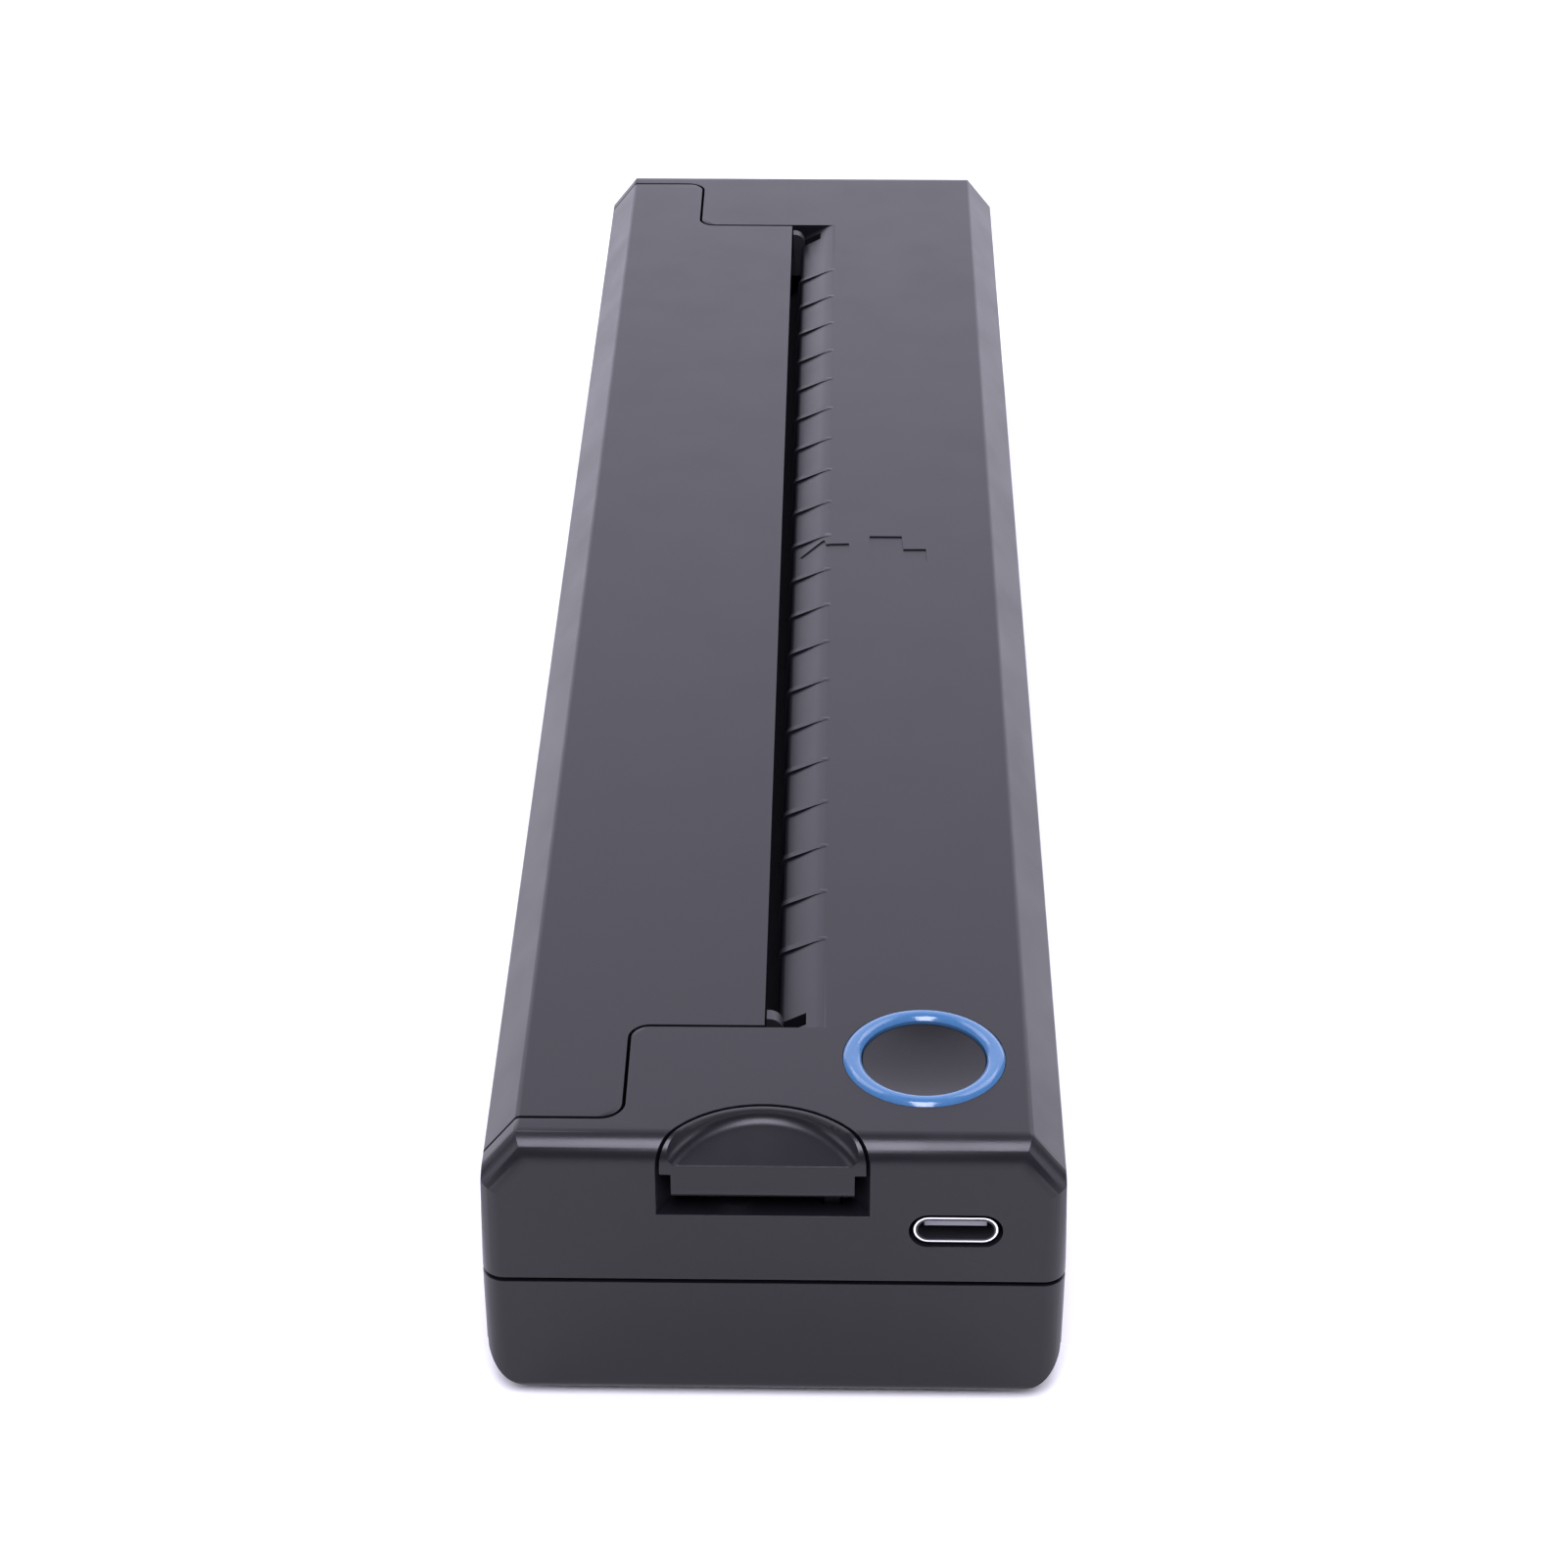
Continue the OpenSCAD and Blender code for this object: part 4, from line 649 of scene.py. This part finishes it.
def islands(node):
    """Lowest and highest corners of each separate body in a CAD node."""
    mesh = merged(node)
    left = set(mesh.verts)
    boxes = []
    while left:
        front = [left.pop()]
        found = []
        while front:
            vertex = front.pop()
            found.append(vertex.co.copy())
            for edge in vertex.link_edges:
                other = edge.other_vert(vertex)
                if other in left:
                    left.remove(other)
                    front.append(other)
        boxes.append(tuple(Vector([pick(c[i] for c in found) for i in range(3)]) for pick in (min, max)))
    mesh.free()
    return sorted(boxes, key=lambda box: tuple(box[0]))


class Tree:
    """A geometry node tree that is built line by line."""

    def __init__(self, name, *inputs):
        self.tree = bpy.data.node_groups.new(name, "GeometryNodeTree")
        ask = self.tree.interface.new_socket
        ask("Places", in_out="INPUT", socket_type="NodeSocketGeometry")
        for label in inputs:
            ask(label, in_out="INPUT", socket_type="NodeSocketFloat")
        ask("Finish", in_out="INPUT", socket_type="NodeSocketMaterial")
        ask("Result", in_out="OUTPUT", socket_type="NodeSocketGeometry")
        self.given = self.tree.nodes.new("NodeGroupInput").outputs

    def node(self, kind, inputs=None, **settings):
        """Adds a node; an input is a number, a vector or another node's output."""
        made = self.tree.nodes.new(kind)
        for key, value in settings.items():
            setattr(made, key, value)
        for key, value in (inputs or {}).items():
            if isinstance(value, bpy.types.NodeSocket):
                self.tree.links.new(value, made.inputs[key])
            else:
                made.inputs[key].default_value = value
        return made

    def math(self, operation, a, b):
        return self.node("ShaderNodeMath", {0: a, 1: b}, operation=operation).outputs[0]

    def times(self, size, share):
        return self.math("MULTIPLY", size, share)

    def vector(self, x, y, z):
        return self.node("ShaderNodeCombineXYZ", {"X": x, "Y": y, "Z": z}).outputs[0]

    def cone(self, sides, low, high, depth, lift):
        """A closed cone or cylinder that starts at the height lift."""
        made = self.node("GeometryNodeMeshCone", {
            "Vertices": sides, "Radius Bottom": low, "Radius Top": high, "Depth": depth}).outputs["Mesh"]
        raised = {"Geometry": made, "Translation": self.vector(0, 0, lift)}
        return self.node("GeometryNodeTransform", raised).outputs[0]

    def joined(self, *parts):
        made = self.node("GeometryNodeJoinGeometry")
        for part in parts:
            self.tree.links.new(part, made.inputs[0])
        return made.outputs[0]

    def placed(self, points, shape):
        """The shape repeated at each point."""
        return self.node("GeometryNodeInstanceOnPoints", {"Points": points, "Instance": shape}).outputs[0]

    def finish(self, geometry):
        """Ends the tree: real geometry in its material."""
        real = self.node("GeometryNodeRealizeInstances", {"Geometry": geometry}).outputs[0]
        named = self.node("GeometryNodeSetMaterial", {"Geometry": real, "Material": self.given["Finish"]})
        end = self.tree.nodes.new("NodeGroupOutput")
        self.tree.links.new(named.outputs[0], end.inputs[0])
        return self.tree


HEAD_SIDES, SHANK_SIDES = 32, 20

# Shares of the head's diameter: radius of its flat face, length and width of a bar of the cross.
FACE_RADIUS, CROSS_LENGTH, CROSS_WIDTH = 0.4, 0.55, 0.15
# Share of the shank's diameter: radius at the bottom of the thread.
CORE_RADIUS = 0.4


def screw_tree():
    """A cross-recess screw at each point, its head's face on the point and its shank below."""
    tree = Tree("cross_recess_screw", "Head Diameter", "Head Height", "Shank Diameter", "Length", "Pitch")
    across, height, shank, length, pitch = [tree.given[i] for i in range(1, 6)]
    rim, face = tree.times(across, 0.5), tree.times(across, FACE_RADIUS)
    head = tree.cone(HEAD_SIDES, rim, face, height, tree.times(height, -1))
    wide, thin = tree.times(across, CROSS_LENGTH), tree.times(across, CROSS_WIDTH)
    bars = [tree.node("GeometryNodeMeshCube", {"Size": tree.vector(x, y, height)}).outputs[0]
            for x, y in ((wide, thin), (thin, wide))]
    recessed = tree.node("GeometryNodeMeshBoolean", {"Mesh 1": head}, operation="DIFFERENCE")
    for bar in bars:
        tree.tree.links.new(bar, recessed.inputs["Mesh 2"])
    outer, inner = tree.times(shank, 0.5), tree.times(shank, CORE_RADIUS)
    bottom = tree.times(length, -1)
    threaded = tree.math("SUBTRACT", length, height)
    core = tree.cone(SHANK_SIDES, inner, inner, threaded, bottom)
    half = tree.times(pitch, 0.5)
    ridge = tree.joined(tree.cone(SHANK_SIDES, inner, outer, half, 0),
                        tree.cone(SHANK_SIDES, outer, inner, half, half))
    turns = tree.math("FLOOR", tree.math("DIVIDE", threaded, pitch), 0)
    line = tree.node("GeometryNodeMeshLine", {
        "Count": turns, "Start Location": tree.vector(0, 0, bottom), "Offset": tree.vector(0, 0, pitch)})
    thread = tree.placed(line.outputs[0], ridge)
    one = tree.joined(recessed.outputs[0], core, thread)
    return tree.finish(tree.placed(tree.given["Places"], one))


def grown(name, tree, places, material, **sizes):
    """The plain mesh that a node tree makes on those places."""
    data = bpy.data.meshes.new(name)
    data.from_pydata([tuple(p) for p in places], [], [])
    holder = bpy.data.objects.new(name, data)
    bpy.context.scene.collection.objects.link(holder)
    modifier = holder.modifiers.new("grown", "NODES")
    modifier.node_group = tree
    values = {key.replace("_", " ").title(): value for key, value in sizes.items()}
    values["Finish"] = material
    for item in tree.interface.items_tree:
        if item.in_out == "INPUT" and item.name in values:
            modifier[item.identifier] = values[item.name]
    depsgraph = bpy.context.evaluated_depsgraph_get()
    result = bpy.data.meshes.new_from_object(holder.evaluated_get(depsgraph))
    bpy.data.objects.remove(holder)
    bpy.data.meshes.remove(data)
    return result


# Each set of screws: node, body, way its heads face, head across and high, shank across, pitch.
SCREW_SETS = {
    "case_screw_set": ("case_screws", "base", (0, 0, -1), 4.2, 1.6, 2.4, 0.9),
    "liner_screw_set": ("liner_screws", "cover", (0, 0, -1), 4.0, 1.0, 1.8, 0.6),
    "frame_screw_set": ("frame_screws", "base", (0, 0, 1), 4.2, 1.2, 2.0, 0.7),
    "motor_screw_set": ("motor_screws", "base", (0, 1, 0), 3.4, 0.8, 2.0, 0.5),
}


def make_screws(materials, slots):
    """Recessed and threaded screws in the places of the CAD's plain ones."""
    tree = screw_tree()
    for name, (node, body, way, across, height, shank, pitch) in SCREW_SETS.items():
        way = Vector(way)
        turn = way.to_track_quat("Z", "Y").to_matrix().to_4x4()
        boxes = islands(node)
        ends = [(low + high) / 2 + way * abs(way.dot(high - low)) / 2 for low, high in boxes]
        low, high = boxes[0]
        made = grown(name, tree, [turn.inverted() @ end for end in ends], materials[slots[node]],
                     head_diameter=across * MM, head_height=height * MM, shank_diameter=shank * MM,
                     length=abs(way.dot(high - low)), pitch=pitch * MM)
        made.transform(turn)
        mesh = bmesh.new()
        mesh.from_mesh(made)
        bpy.data.meshes.remove(made)
        finish_piece(mesh, name, materials[slots[node]], body, slots[node], node)


# ---------- charging port ----------

# Corners of the port's metal shell in the CAD, its wall, and the dark liner inside it that paints the shade
# in the mouth.
PORT_LOW, PORT_HIGH = (14.83, -129.2, 21.77), (23.77, -121.9, 25.03)
PORT_WALL = 0.3
SHADE_LINER_WALL = 0.1
# How far the lip covers the metal's edge and stands in front of it, the air between the two
# in front and at the sides, and how much shorter the painted-shade liner is than the metal.
LIP_COVER = 0.09
LIP_PROUD = 0.035
FRONT_AIR = 0.003
SIDE_AIR = 0.005
SHADE_LINER_SHORT = 0.4
OBROUND_STEPS = 16


def obround(inset):
    """Points round the port's mouth, that far inside the metal's outside."""
    x0, z0, x1, z1 = PORT_LOW[0] + inset, PORT_LOW[2] + inset, PORT_HIGH[0] - inset, PORT_HIGH[2] - inset
    radius = (z1 - z0) / 2
    middle = (z0 + z1) / 2
    points = []
    for side, centre in ((1, x1 - radius), (-1, x0 + radius)):
        for i in range(OBROUND_STEPS + 1):
            turn = math.pi * (i / OBROUND_STEPS - 0.5)
            points.append((centre + side * radius * math.cos(turn), middle + side * radius * math.sin(turn)))
    return points


def make_painted_port_shade(materials):
    """Painted shade: a dark sleeve that lines the metal mouth of the charging port so it reads dark inside,
    with a thin lip over its edge.
    """
    mesh = bmesh.new()
    mouth, far = PORT_LOW[1], PORT_HIGH[1] - SHADE_LINER_SHORT
    lip, outer, inner = (obround(PORT_WALL + more) for more in (-LIP_COVER, SIDE_AIR, SHADE_LINER_WALL))
    rings = [[mesh.verts.new(mm(x, y, z)) for x, z in points] for points, y in
             ((lip, mouth - LIP_PROUD), (lip, mouth - FRONT_AIR), (outer, mouth - FRONT_AIR), (outer, far),
              (inner, far), (inner, mouth - LIP_PROUD))]
    count = len(outer)
    for a, b in zip(rings, rings[1:] + rings[:1]):
        for i in range(count):
            j = (i + 1) % count
            mesh.faces.new((a[i], a[j], b[j], b[i]))
    bmesh.ops.recalc_face_normals(mesh, faces=mesh.faces)
    finish_piece(mesh, "painted_port_shade", materials["black_resin"], "base", "port_black")


def dress_nodes(materials, slots):
    """Gives each CAD node the finish of its slot."""
    for name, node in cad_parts.items():
        node.data.materials[0] = materials[slots[name]]


make_camera()
make_studio()
MATERIALS = make_materials()
SLOTS = {name: node.data.materials[0].name.split(".")[0] for name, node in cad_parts.items()}
dress_nodes(MATERIALS, SLOTS)
make_mouldings(MATERIALS)
make_screws(MATERIALS, SLOTS)
make_painted_port_shade(MATERIALS)

bpy.context.view_layer.update()
